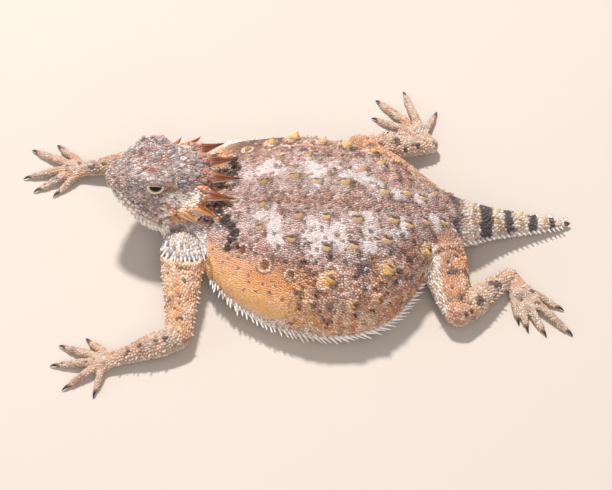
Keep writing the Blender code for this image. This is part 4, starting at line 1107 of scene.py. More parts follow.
# throat: white points, larger and closer together towards the fold they hang over
taken = []
for _ in range(2600):
    px, py = rng.uniform(163, 206), rng.uniform(226, 261)
    down = (gular_y(px) - py) / 26
    if not 0.03 < down < 1 or rng.random() > 0.12 + 0.88 * (1 - down) ** 2:
        continue
    if any((px - a) ** 2 + (py - b) ** 2 < (3.0 + 2.6 * down) ** 2 for a, b in taken):
        continue
    taken.append((px, py))
    q = seen(plain, px, py)
    if q[0] > -27 or q[2] < 1:
        continue
    r = (0.62 - 0.28 * down) * rng.uniform(0.75, 1.15) * (0.85 if Ns[F[on_skin(q)[1], 0]][2] > 0.75 else 1.0)
    way = np.array([(px - 186) * 0.014 + rng.normal(0, 0.16), -0.75, -0.55 + rng.normal(0, 0.14)])
    place(q, r, "gular", way)
    place((q[0], 9.2 - q[1], q[2]), r, "gular", way * (1, -1, 1))
for row, (xx, zz) in enumerate(((-36.5, 3.2), (-33.5, 3.0), (-39.0, 4.0))):
    for yy in np.arange(-9.5 + row * 0.4, 17, 1.5):
        place((xx - 0.006 * (yy - 4) ** 2, yy, zz), 0.55, "gular", (-0.6, 0, -0.6))
# white points along the edges of the limbs
for (a, b), out, num in (
    (UPPER["arm_L"], (-1, 0, 0.25), 20), (LOWER["arm_L"], (0.2, -1, 0.3), 12), (UPPER["leg_L"], (-1, -0.1, 0.2), 13), (UPPER["arm_R"], (0, 1, 0.2), 12),
    (LOWER["arm_R"], (0, 1, 0.3), 12), (UPPER["leg_R"], (-0.6, 0.4, 0.3), 13), (LOWER["leg_R"], (0, 1, 0.4), 14), (LOWER["leg_L"], (1, -0.6, 0.3), 12), (UPPER["arm_L"], (1, 0, 0.2), 12),
    (LOWER["leg_R"], (0.3, -1, 0.2), 12),
):
    a, b, out = np.array(a), np.array(b), unit(np.array(out, float))
    for v in np.linspace(0.25, 1.0, num):
        if rng.random() < 0.85:
            place(a + (b - a) * (v + rng.normal(0, 0.012)) + out * 6, rng.uniform(0.34, 0.5), "edge", out + unit(b - a) * rng.uniform(0.2, 0.9))
# points along the tail's sides and keeled spines on its back
tail_mid = [[s[k] for s in TAIL] for k in range(5)]
for x in np.arange(44.0, 75, 1.5):
    y, z = smooth(tail_mid[0], tail_mid[1], x), smooth(tail_mid[0], tail_mid[2], x)
    for dy in (-8, 8):
        place((x, y + dy, z + 0.3), 0.55, "tailside", (0.75, np.sign(dy), 0.1))
for px, py, r in ((472, 221, 0.8), (496, 220.5, 0.95), (519, 222, 0.85), (544, 221.5, 0.65)):
    q = seen(plain, px, py)
    y = smooth(tail_mid[0], tail_mid[1], q[0])
    place(q, r, "tailspine")
    place((q[0], 2 * y - q[1], q[2]), r, "tailspine")

first = len(roots)

# the rest are strewn at random, none nearer than its spacing
area = np.linalg.norm(np.cross(V[F[:, 1]] - V[F[:, 0]], V[F[:, 2]] - V[F[:, 0]]), axis=1) / 2
tri_space = SPACE[F].mean(axis=1) * 1.0
rate = area / tri_space**2
want = int(rate.sum() * 4.2)
pick = rng.choice(len(F), want, p=rate / rate.sum())
r1, r2 = np.sqrt(rng.random(want)), rng.random(want)
bary = np.stack([1 - r1, r1 * (1 - r2), r1 * r2], 1)
cand = np.einsum("ij,ijk->ik", bary, V[F[pick]])
cspace = tri_space[pick]
# none inside the eye openings
ok = np.ones(want, bool)
for tag, (centre, out, fore, up) in EYES.items():
    d = cand - centre
    r = np.linalg.norm(d, axis=1)
    a = np.arccos(np.clip(d @ out / np.maximum(r, 1e-6), -1, 1))
    c, s = d @ fore, d @ up
    k = np.maximum(np.hypot(c, s), 1e-6)
    ok &= ~((r < EYE_R + 2.5) & (a < lid_angle(c / k, s / k) + math.radians(20)))
# nor within an enlarged scale
near_tree = kdtree.KDTree(len(cand))
for i, p in enumerate(cand):
    near_tree.insert(p, i)
near_tree.balance()
for p, r in zip(roots, root_r):
    for _, i, d in near_tree.find_range(p, r * 0.86 + 0.5):
        if d < r * 0.86 + cspace[i] * 0.5:
            ok[i] = False
cand, cspace, pick = cand[ok], cspace[ok], pick[ok]

CELL = 0.95
grid = {}
accepted = []
for i, (p, r) in enumerate(zip(cand.tolist(), cspace.tolist())):
    cx, cy, cz = int(p[0] // CELL), int(p[1] // CELL), int(p[2] // CELL)
    clear = True
    for a in (cx, cx - 1, cx + 1):
        for b in (cy, cy - 1, cy + 1):
            for c in (cz, cz - 1, cz + 1):
                for q in grid.get((a, b, c), ()):
                    lim = (r + q[3]) * 0.5
                    if (p[0] - q[0]) ** 2 + (p[1] - q[1]) ** 2 + (p[2] - q[2]) ** 2 < lim * lim:
                        clear = False
                        break
                if not clear:
                    break
            if not clear:
                break
        if not clear:
            break
    if clear:
        accepted.append(i)
        grid.setdefault((cx, cy, cz), []).append((p[0], p[1], p[2], r))
accepted = np.array(accepted)
P = np.vstack([np.array(roots), cand[accepted]])
TRI = np.concatenate([np.array(root_tri), pick[accepted]])
R = np.concatenate([np.array(root_r), cspace[accepted] * 0.5])
KIND = np.array(root_kind + ["skin"] * len(accepted))
LAB = label_of[F[TRI, 0]]
n_ = unit(Ns[F[TRI]].mean(axis=1))
t_ = T[F[TRI]].mean(axis=1)
t_ = unit(t_ - n_ * dot(t_, n_)[:, None])
b_ = np.cross(n_, t_)
aim = np.zeros((len(P), 3))
aim[: len(root_aim)] = root_aim
sd, sid = spine_dist[F[TRI, 0]], spine_id[F[TRI, 0]]
M = len(P)
print("scales", M, "skin", len(F))

# ---- the outline of each scale: its share of the skin between its neighbours ----------
kd = kdtree.KDTree(M)
for i, p in enumerate(P):
    kd.insert(p, i)
kd.balance()
NB = 12
nb = np.empty((M, NB), dtype=int)
for i in range(M):
    found = kd.find_n(P[i], NB + 1)
    nb[i] = [q[1] for q in found[1 : NB + 1]]


def outlines(idx, sides, overlap=1.0):
    """Radius of each scale in idx in each of so many directions round it."""
    th = 2 * math.pi * np.arange(sides) / sides
    d = np.cos(th)[None, :, None] * t_[idx][:, None, :] + np.sin(th)[None, :, None] * b_[idx][:, None, :]
    v = P[nb[idx]] - P[idx][:, None, :]
    share = R[idx][:, None] / (R[idx][:, None] + R[nb[idx]])
    along = np.einsum("msk,mnk->msn", d, v)
    dist = share[:, None, :] * (v**2).sum(-1)[:, None, :] / np.maximum(along, 1e-6)
    dist = np.where(along > 1e-6, dist, 99)
    return np.minimum(dist.min(-1), R[idx][:, None] * 1.5) * overlap


# ---- maps: an atlas of the skin, one chart for each region and side --------------------
REGION = np.select([LAB == 0, LAB == 1, LAB == 2, LAB == 3], [0, 1, 2, 3], 4 + (LAB - 4) // 8)
AX = np.argmax(np.abs(n_), axis=1)
SIGN = (n_[np.arange(M), AX] > 0).astype(int)
chart = REGION * 6 + AX * 2 + SIGN
flat_pts = np.zeros((M, 2))
for a, (i, j) in enumerate(((1, 2), (0, 2), (0, 1))):
    flat_pts[AX == a] = P[AX == a][:, [i, j]]
boxes = []
for c in np.unique(chart):
    q = flat_pts[chart == c]
    lo, hi = q.min(0) - 1, q.max(0) + 1
    boxes.append([c, lo, hi - lo])
boxes.sort(key=lambda b: -b[2][1])
scale_uv = 0.0062
while True:
    x = y = shelf = 0.0
    spot_of = {}
    for c, lo, size in boxes:
        w, h = size * scale_uv
        if x + w > 1:
            x, y, shelf = 0.0, y + shelf, 0.0
        spot_of[c] = (x, y, lo)
        x += w
        shelf = max(shelf, h)
    if y + shelf <= 1:
        break
    scale_uv *= 0.97
UV = np.zeros((M, 2))
for c, (x, y, lo) in spot_of.items():
    at = chart == c
    UV[at] = (flat_pts[at] - lo) * scale_uv + (x, y)


# ---- scales as solid mesh --------------------------------------------------------------
is_f = np.array([nm.startswith(("toe", "palm")) for nm in LABELS])[LAB]
is_l = (LAB > 3) & ~is_f
au = np.abs(lateral(P))
ff = front_flank[F[TRI, 0]]
under_n = n_[:, 2] < -0.25
is_top = (LAB == 1) & ((n_ @ CROWN) > 0.25)
# how much the colour of single scales strays: spread, and shares of dark, pale and rusty ones
STRAY = np.tile([0.14, 0.12, 0.12, 0.10], (M, 1))
for at, v in (
    ((LAB == 0) & (ff > 0.5), (0.05, 0.015, 0.03, 0.03)),
    ((LAB == 0) & (ff > 0.5) & (lateral(P) > 0.3) & (P[:, 0] > -21), (0.13, 0.16, 0.08, 0.12)),
    ((LAB == 0) & (ff <= 0.5), (0.14, 0.15, 0.12, 0.10)),
    ((LAB == 0) & (au < 0.12), (0.19, 0.28, 0.12, 0.14)),
    (is_top, (0.20, 0.22, 0.20, 0.12)),
    ((LAB == 1) & ~is_top, (0.18, 0.16, 0.20, 0.10)),
    (LAB == 2, (0.13, 0.12, 0.14, 0.08)),
    (LAB == 3, (0.12, 0.08, 0.14, 0.05)),
    (is_l, (0.13, 0.09, 0.12, 0.10)),
    (is_f, (0.09, 0.05, 0.10, 0.06)),
    ((LAB == 0) & under_n, (0.05, 0.01, 0.02, 0.0)),
):
    STRAY[at] = v
quiet = (LAB == 0) & (spots(P, PALES, 44, 0.32) > 0.5)
STRAY[quiet] = (0.07, 0.04, 0.05, 0.04)
CLUSTER = noise(P, 1.1, 24, 2)


def stray(c, idx):
    g = np.random.default_rng(1000 + int(idx[0]) % 997)
    m = len(idx)
    spread, dark, pale, rust = STRAY[idx].T
    c = c * np.clip(1 + g.normal(0, 1, m) * spread, 0.45, 1.5)[:, None]
    u = np.clip(g.random(m) * 0.7 + (CLUSTER[idx] - 0.5) * 0.9 + 0.15, 0, 1)  # strays gather in small groups
    c = blend(c, rgb(86, 68, 64), (u < dark) * g.uniform(0.4, 0.8, m))
    c = blend(c, rgb(238, 228, 222), (u > 1 - pale) * g.uniform(0.3, 0.65, m))
    return blend(c, rgb(184, 116, 84), (g.random(m) < rust) * g.uniform(0.3, 0.6, m))


def build(idx, sides, rings, ring_shading, overlap=1.0, vary=True, even=False):
    """Joined scales. Each ring is its share of the radius, height, shift along the scale's
    direction, pull of its rear into a point, keel and share of the width; the last ring is a point."""
    m = len(idx)
    r = np.repeat(R[idx][:, None], sides, 1) if even else outlines(idx, sides, overlap)
    rm = r.mean(1)
    th = 2 * math.pi * np.arange(sides) / sides
    c, s = np.cos(th)[None], np.sin(th)[None]
    n, t, b, p = n_[idx], t_[idx], b_[idx], P[idx]
    base = paint(p, n, LAB[idx], sd[idx], sid[idx])
    if vary:
        base = stray(base, idx)
    verts, cols, uvs = [], [], []
    for q, ring in enumerate(rings):
        share, height, shift, tip, keel, wide = (np.broadcast_to(np.asarray(a, float), (m,))[:, None] for a in (*ring, *(1.0,) * (6 - len(ring))))
        rr = r * share * (1 + tip * np.clip(c, 0, 1) ** 3)
        a = rr * c + shift * rm[:, None]
        h = height * (1 + keel * (c**4)) + 0 * c
        verts.append(p[:, None] + a[..., None] * t[:, None] + (rr * s * wide)[..., None] * b[:, None] + h[..., None] * n[:, None])
        # each ring's factor darkens the scale's base, where it meets the skin, as painted shade, and lightens its top
        # as a painted highlight
        cols.append(np.repeat((base * ring_shading[q])[:, None], sides, 1))
        uvs.append(UV[idx][:, None] + 0.0015 * share[..., None] * np.stack([c + 0 * a, s + 0 * a], -1))
    nr = len(rings)
    verts, cols, uvs = (np.concatenate(a, 1) for a in (verts, cols, uvs))
    k = np.arange(sides)
    kk = (k + 1) % sides
    tris = []
    for q in range(nr - 2):
        a, b2, c2, d2 = q * sides + k, q * sides + kk, (q + 1) * sides + kk, (q + 1) * sides + k
        tris += [np.stack([a, b2, c2], 1), np.stack([a, c2, d2], 1)]
    q = nr - 2
    tris.append(np.stack([q * sides + k, q * sides + kk, np.full(sides, (nr - 1) * sides)], 1))
    tris = np.vstack(tris)
    keep = (nr - 1) * sides + 1
    verts[:, (nr - 1) * sides] = verts[:, (nr - 1) * sides :].mean(1)
    verts, cols, uvs = verts[:, :keep], cols[:, :keep], uvs[:, :keep]
    uvs[:, -1] = UV[idx]
    tris = tris[None] + (np.arange(m) * keep)[:, None, None]
    return verts.reshape(-1, 3), tris.reshape(-1, 3), cols.reshape(-1, 3), uvs.reshape(-1, 2)


def join(parts):
    vs, fs, cs, us = [], [], [], []
    n = 0
    for v, f, c, u in parts:
        vs.append(v)
        fs.append(f + n)
        cs.append(c)
        us.append(u)
        n += len(v)
    return np.vstack(vs), np.vstack(fs), np.vstack(cs), np.vstack(us)


def uneven(idx, low, high, seed=3):
    return np.random.default_rng(seed).uniform(low, high, len(idx))


def granules(idx, sides=6):
    """Small domed scales."""
    r = R[idx] * uneven(idx, 0.7, 1.35)
    return build(idx, sides, [(1.04, -0.14, 0), (0.78, 0.50 * r, 0.06), (0.0, 0.86 * r, 0.14)], (0.5, 0.92, 1.16))


def calm(idx, sides=7):
    """The lower, even granules of the back's pale patches."""
    r = R[idx] * uneven(idx, 0.8, 1.15)
    return build(idx, sides, [(1.05, -0.12, 0), (0.84, 0.36 * r, 0.06), (0.0, 0.64 * r, 0.12)], (0.72, 0.97, 1.06))


def smoothed(idx, sides=6):
    """Low scales of the smooth front of the flank."""
    r = R[idx]
    return build(idx, sides, [(1.04, -0.12, 0), (0.86, 0.26 * r, 0.06), (0.0, 0.46 * r, 0.12)], (0.84, 0.99, 1.04))


def keeled(idx, sides=7, rise=1.0):
    """Overlapping scales with a keel that ends in a low point."""
    r = R[idx] * rise * uneven(idx, 0.75, 1.25)
    return build(idx, sides, [(1.03, -0.14, 0), (0.90, 0.36 * r, 0.1, 0.4, 0.5), (0.4, 0.7 * r, 0.36, 0.6, 0.3, 0.6), (0.0, 0.92 * r, 0.66)], (0.55, 0.9, 1.04, 1.14))


def plates(idx, sides=8, rise=1.0):
    """Many-sided scales of the skull, each with a worn rough top."""
    k = R[idx] * rise * uneven(idx, 0.6, 1.4)
    return build(idx, sides, [(1.03, -0.16, 0), (0.86, 0.44 * k, 0), (0.45, 0.72 * k, 0.05), (0.0, 0.82 * k, 0.1)], (0.42, 0.86, 1.06, 1.18))


def flats(idx, sides=6):
    r = R[idx]
    return build(idx, sides, [(1.02, -0.14, 0), (0.9, 0.24 * r, 0.06, 0.22), (0.0, 0.38 * r, 0.12)], (0.66, 0.95, 1.05))


def dyed_and_shaded(made, idx, sides, rings, weights, colour, far_shade_weight=None, far_shade_colour=None):
    """Blends the rings of finished scales towards a colour, and one side of them towards a darker colour as painted
    shade.
    """
    v, f, c, u = made
    m = len(idx)
    w = np.tile(np.concatenate([np.repeat(weights[:-1], sides), weights[-1:]]), m)
    shade = np.repeat(1 + np.random.default_rng(77).normal(0, 0.07, m), (rings - 1) * sides + 1)
    c = blend(c, np.asarray(colour) * shade[:, None], w)
    if far_shade_weight is not None:
        th = 2 * math.pi * np.arange(sides) / sides
        # the side away from the viewer's flank, whichever way the frame runs, is darkened as painted shade
        far = np.sin(th)[None, :] * np.where(b_[idx, 1] > 0, 1.0, -1.0)[:, None] + 0.25 * np.cos(th)[None, :]
        far = step(0.05, 0.4, far)
        ws = np.concatenate([far * a for a in far_shade_weight[:-1]] + [np.full((m, 1), far_shade_weight[-1])], 1).ravel()
        c = blend(c, np.asarray(far_shade_colour), ws)
    return v, f, c, u


def thorns(idx, high, lean, colour=None, sides=7, amount=1.0):
    """Pointed scales: high in mm, lean as a share of the height along the scale's direction."""
    high = np.broadcast_to(np.asarray(high, float), (len(idx),))
    rm = R[idx]
    made = build(
        idx, sides,
        [(1.0, -0.22, 0), (0.8, 0.16 * high, lean * 0.1 * high / rm, 0, 0.2), (0.5, 0.42 * high, lean * 0.34 * high / rm, 0, 0.2),
         (0.22, 0.74 * high, lean * 0.72 * high / rm), (0.0, high, lean * 1.05 * high / rm)],
        (0.5, 0.8, 1.0, 1.08, 1.12), vary=False, even=True,
    )
    if colour is not None:
        made = dyed_and_shaded(made, idx, sides, 5, np.array([0.25, 0.7, 0.95, 1.0, 1.0]) * amount, colour)
    return made


def ridged(idx, high, colour, dark, sides=12, amount=0.8, lean=1.0):
    """The back's enlarged scales: a keeled pyramid leaning to the tail, with painted shade on the side beyond its keel.
    """
    high = np.broadcast_to(np.asarray(high, float), (len(idx),))
    made = build(
        idx, sides,
        [(1.05, -0.3, 0), (0.98, 0.22 * high, 0.12 * lean, 0.2, 0.2, 0.8), (0.8, 0.6 * high, 0.36 * lean, 0.35, 0.3, 0.34), (0.46, 0.88 * high, 0.72 * lean, 0.4, 0.1, 0.14), (0.0, high, 1.2 * lean)],
        (0.6, 0.95, 1.0, 1.1, 1.1), vary=False, even=True,
    )
    return dyed_and_shaded(made, idx, sides, 5, np.array([0.1, 0.55, 0.95, 1.0, 0.7]) * amount, colour, np.array([0.55, 0.85, 1.0, 0.95, 0.3]), dark)


# pointed scales turn to where they point
turned = np.where(np.linalg.norm(aim, axis=1) > 0)[0]
weight = np.where(KIND[turned] == "fringe", 0.97, np.where(KIND[turned] == "fringe2", 0.75, np.where(KIND[turned] == "gular", 0.6, np.where(KIND[turned] == "jaw", 0.6, 0.5))))[:, None]
n_[turned] = unit(n_[turned] * (1 - weight) + aim[turned] * weight)
t_[turned] = unit(t_[turned] - n_[turned] * dot(t_[turned], n_[turned])[:, None])
b_[turned] = np.cross(n_[turned], t_[turned])

# the back's enlarged scales lean a little to the left, so their far sides, darkened as painted shade, show from there
leaning = np.where(np.isin(KIND, ("inner", "outer", "mound", "mid")))[0]
n_[leaning] = unit(n_[leaning] + np.array([0.0, -0.3, 0.0]))
t_[leaning] = unit(t_[leaning] - n_[leaning] * dot(t_[leaning], n_[leaning])[:, None])
b_[leaning] = np.cross(n_[leaning], t_[leaning])

kind = {k: np.where(KIND == k)[0] for k in np.unique(KIND)}
main = KIND == "skin"
pieces = {}


def sub(mask):
    return np.where(mask)[0]


def size_of(idx):
    return spine_size[sid[idx]]


fr, md, jw, gu, ed, ts = (kind[k] for k in ("fringe", "mid", "jaw", "gular", "edge", "tailside"))
fringe_high = 2.35 * smooth([-27, -22, -12, 22, 33], [0.5, 0.85, 1.0, 1.0, 0.6], P[fr, 0]) * uneven(fr, 0.78, 1.12)
back_spines = np.concatenate([kind["inner"], kind["outer"]])
pieces["scales_spines"] = join([
    ridged(back_spines, 1.35 * size_of(back_spines), rgb(250, 208, 140), rgb(52, 34, 26)),
    ridged(kind["mound"], 1.05 * size_of(kind["mound"]), rgb(238, 194, 120), rgb(84, 54, 38), lean=1.2),
    ridged(kind["rosette"], 0.7 * size_of(kind["rosette"]), rgb(176, 124, 84), rgb(84, 58, 44), lean=0.5),
    ridged(md, 0.85 * R[md] / 0.5 * 0.8, rgb(206, 172, 148), rgb(84, 62, 54), sides=8, amount=0.45),
    thorns(fr, fringe_high, 0.06, rgb(246, 242, 238), 7),
    thorns(kind["fringe2"], 1.25 * uneven(kind["fringe2"], 0.8, 1.15), 0.1, rgb(236, 230, 226), 7),
    thorns(gu, 1.55 * R[gu] / 0.6 * uneven(gu, 0.7, 1.3), 0.35, WHITE, 7, 0.95),
    thorns(ed, 1.85 * R[ed] * uneven(ed, 0.6, 1.2), 0.4, rgb(228, 216, 204), 6, 0.7),
    thorns(jw, 2.75 * (R[jw] - 0.2) * uneven(jw, 0.7, 1.25), 0.25, rgb(246, 232, 216), 7, 0.85),
    thorns(ts, 1.15, 0.2, WHITE, 6, 0.9),
    ridged(kind["tailspine"], 1.0 * R[kind["tailspine"]], rgb(224, 190, 122), rgb(96, 70, 50), sides=9, amount=0.7),
    dyed_and_shaded(build(kind["pineal"], 14, [(1.0, -0.2, 0), (0.85, 0.3, 0), (0.5, 0.36, 0), (0.36, 0.2, 0), (0.0, 0.16, 0)], (0.5, 1, 1, 1, 1), vary=False, even=True), kind["pineal"], 14, 5,
         np.array([0.3, 0.95, 1.0, 0.25, 0.0]), rgb(230, 222, 216)),
    thorns(kind["browspike"], 1.1, 0.5, rgb(186, 172, 170), 8, 0.7),
])
pieces["scales_head"] = join([
    plates(sub(main & is_top)), granules(sub(main & (LAB == 1) & ~is_top), 7), plates(kind["labial"], 7), plates(kind["brow"], 8, 0.7), plates(kind["boss"], 9, 1.1),
])
pieces["scales_neck"] = granules(sub(main & (LAB == 2)))
back = main & (LAB == 0) & ~under_n
near = lateral(P) < 0
for tag, at in (("L", near), ("R", ~near)):
    pieces[f"scales_back_{tag}"] = join([granules(sub(back & at & (au < 0.6) & ~quiet)), calm(sub(back & at & (au < 0.6) & quiet))])
    pieces[f"scales_flank_{tag}"] = join([granules(sub(back & at & (au >= 0.6) & (ff <= 0.5))), smoothed(sub(back & at & (au >= 0.6) & (ff > 0.5)))])
pieces["scales_belly"] = flats(sub(main & (LAB == 0) & under_n))
pieces["scales_tail"] = keeled(sub(main & (LAB == 3)))
left_limb = np.array([nm.endswith("_L") for nm in LABELS])[LAB]
arm_of = np.array(["arm" in nm for nm in LABELS])[LAB]
for word, at in (("arm", arm_of), ("leg", ~arm_of)):
    for tag, on in (("L", left_limb), ("R", ~left_limb)):
        pieces[f"scales_{word}_{tag}"] = keeled(sub(main & is_l & at & on))
        pieces[f"scales_foot_{word}_{tag}"] = keeled(sub(main & is_f & at & on), 6, 0.8)

# ---- materials -------------------------------------------------------------------------
def nodes_of(name):
    m = bpy.data.materials.new(name)
    m.use_nodes = True
    t = m.node_tree
    return m, t, t.nodes["Principled BSDF"]


def skin_material(name, rough, bump, grain, fleck=0.12):
    """Painted skin: fine uneven tone, fine grain in relief, and roughness that varies with the grain."""
    m, t, b = nodes_of(name)
    att = t.nodes.new("ShaderNodeVertexColor")
    att.layer_name = "paint"
    co = t.nodes.new("ShaderNodeTexCoord")
    n1 = t.nodes.new("ShaderNodeTexNoise")
    n1.inputs["Scale"].default_value = 2600
    n1.inputs["Detail"].default_value = 4
    n2 = t.nodes.new("ShaderNodeTexNoise")
    n2.inputs["Scale"].default_value = grain
    n2.inputs["Detail"].default_value = 5
    n2.inputs["Roughness"].default_value = 0.65
    for n in (n1, n2):
        t.links.new(co.outputs["Object"], n.inputs["Vector"])
    ramp = t.nodes.new("ShaderNodeMapRange")
    ramp.inputs["From Min"].default_value, ramp.inputs["From Max"].default_value = 0.3, 0.7
    ramp.inputs["To Min"].default_value, ramp.inputs["To Max"].default_value = 1 - fleck, 1 + fleck
    t.links.new(n1.outputs["Fac"], ramp.inputs["Value"])
    mul = t.nodes.new("ShaderNodeVectorMath")
    mul.operation = "SCALE"
    t.links.new(att.outputs["Color"], mul.inputs[0])
    t.links.new(ramp.outputs["Result"], mul.inputs["Scale"])
    t.links.new(mul.outputs["Vector"], b.inputs["Base Color"])
    rr = t.nodes.new("ShaderNodeMapRange")
    rr.inputs["From Min"].default_value, rr.inputs["From Max"].default_value = 0.3, 0.7
    rr.inputs["To Min"].default_value, rr.inputs["To Max"].default_value = rough - 0.1, rough + 0.1
    t.links.new(n2.outputs["Fac"], rr.inputs["Value"])
    t.links.new(rr.outputs["Result"], b.inputs["Roughness"])
    bp = t.nodes.new("ShaderNodeBump")
    bp.inputs["Strength"].default_value = bump
    bp.inputs["Distance"].default_value = 0.00012
    t.links.new(n2.outputs["Fac"], bp.inputs["Height"])
    t.links.new(bp.outputs["Normal"], b.inputs["Normal"])
    b.inputs["Specular IOR Level"].default_value = 0.35
    return m


BODY_MAT = skin_material("body_skin", 0.62, 0.5, 5200)
COAT_MAT = skin_material("scale_coat", 0.55, 0.6, 6500)
HEAD_MAT = skin_material("head_scales", 0.52, 0.9, 5200, 0.18)
HORN_MAT = skin_material("horn_keratin", 0.42, 0.5, 3800, 0.10)

skin.data.materials.append(BODY_MAT)
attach(skin, "root")
flesh = [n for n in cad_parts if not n.startswith(("horn", "eye"))]
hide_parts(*flesh)

total = 0
for name, (v, f, c, u) in pieces.items():
    ob = new_mesh(name, v, f, c, u)
    ob.data.materials.append(HEAD_MAT if name == "scales_head" else COAT_MAT)
    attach(ob, "root")
    total += len(f)
    print(name, len(f))
print("coat", total)

# ---- horns -------------------------------------------------------------------------------
ROOT_C = {"occipital_inner": rgb(184, 114, 84), "occipital_outer": rgb(184, 104, 76), "temporal_rear": rgb(226, 150, 90), "temporal_mid": rgb(228, 178, 116), "temporal_front": rgb(222, 172, 118)}
MID_C = {"occipital_inner": rgb(150, 86, 54), "occipital_outer": rgb(148, 80, 54), "temporal_rear": rgb(200, 122, 66), "temporal_mid": rgb(202, 138, 80), "temporal_front": rgb(200, 142, 92)}
TIP_C = {"occipital_inner": rgb(64, 34, 28), "occipital_outer": rgb(58, 24, 24), "temporal_rear": rgb(150, 76, 40), "temporal_mid": rgb(160, 94, 52), "temporal_front": rgb(170, 108, 66)}


def horn(name, spec, sgn, sides=40, steps=30):
    a, d, length, across, top = horn_axes(spec, sgn)
    wide, high = spec[2:]
    verts, cols = [], []
    q = 2 * math.pi * np.arange(sides) / sides
    low = across if (from_head(across)[1] < from_head(-across)[1]) else -across
    below = np.cos(q) * float(across @ low)
    for i in range(steps):
        t = i / (steps - 1)
        s = (1 - t) ** 1.2 * 0.965 + 0.035 * (1 - t**6)
        lift = 0.09 * length * (t * t - t * 0.8)
        fold = 1 + 0.065 * np.cos(q * 13 + 1.3 * sgn) * (1 - t) ** 0.5 - 0.02 + 0.02 * math.sin(t * 40) * (1 - t)
        c = a + d * (length * t) + top * lift
        ring = c + np.outer(np.cos(q) * wide * s * fold, across) + np.outer(np.sin(q) * high * s * fold, top)
        verts.append(from_head(ring))
        streak = noise(np.column_stack([np.full(sides, t * 1.6), np.cos(q) * 4.5, np.sin(q) * 4.5]), 1.0, 5 + len(name), 2)
        k = blend(ROOT_C[name] + np.zeros((sides, 3)), MID_C[name], step(0.1, 0.45, t + (streak - 0.5) * 0.5))
        k = blend(k, TIP_C[name], step(0.6, 0.96, t + (streak - 0.5) * 0.5))
        lines = noise(np.column_stack([np.full(sides, t * 0.5), np.cos(q) * 10, np.sin(q) * 10]), 1.0, 15 + len(name), 1)
        # painted shade: darker in the grooves between the horn's ridges, lighter on the ridges; the streaks and lines
        # are the horn's own colour
        k = k * (0.26 + 0.42 * streak + 0.16 * np.cos(q * 13 + 1.3 * sgn) + 0.8 * step(0.36, 0.55, lines))[:, None] * 0.74
        k = blend(k, rgb(212, 170, 148), np.full(sides, 0.7 * step(0.3, 0.08, t)) * step(0.35, 0.6, streak))
        if name != "temporal_front":
            k = blend(k, rgb(228, 216, 206), 0.85 * step(0.78, 0.93, below) * step(0.35, -0.1, np.sin(q)) * float(step(0.95, 0.7, t)))
            k = blend(k, rgb(50, 28, 26), 0.7 * step(-0.72, -0.92, below) * float(step(0.25, 0.6, t)) * ("occipital" in name))
        cols.append(k)
    v, f = loft(verts)
    c = np.vstack(cols + [cols[0][:1], cols[-1][:1]])
    return v, f, c


for sgn, tag in ((1, "L"), (-1, "R")):
    for name, spec in HORNS.items():
        v, f, c = horn(name, spec, sgn)
        ob = new_mesh(f"horn_{name}_{tag}_detail", v, f, c)
        ob.data.materials.append(HORN_MAT)
        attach(ob, "root")
        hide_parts(f"horn_{name}_{tag}")

# ---- eyes and lids -----------------------------------------------------------------------
m, t, b = nodes_of("eyeball")
att = t.nodes.new("ShaderNodeVertexColor")
att.layer_name = "paint"
no = t.nodes.new("ShaderNodeTexNoise")
no.inputs["Scale"].default_value = 3000
co = t.nodes.new("ShaderNodeTexCoord")
t.links.new(co.outputs["Object"], no.inputs["Vector"])
mx = t.nodes.new("ShaderNodeMapRange")
mx.inputs["To Min"].default_value, mx.inputs["To Max"].default_value = 0.7, 1.3
t.links.new(no.outputs["Fac"], mx.inputs["Value"])
mul = t.nodes.new("ShaderNodeVectorMath")
mul.operation = "SCALE"
t.links.new(att.outputs["Color"], mul.inputs[0])
t.links.new(mx.outputs["Result"], mul.inputs["Scale"])
t.links.new(mul.outputs["Vector"], b.inputs["Base Color"])
b.inputs["Roughness"].default_value = 0.08
b.inputs["Specular IOR Level"].default_value = 0.28
EYE_MAT = m

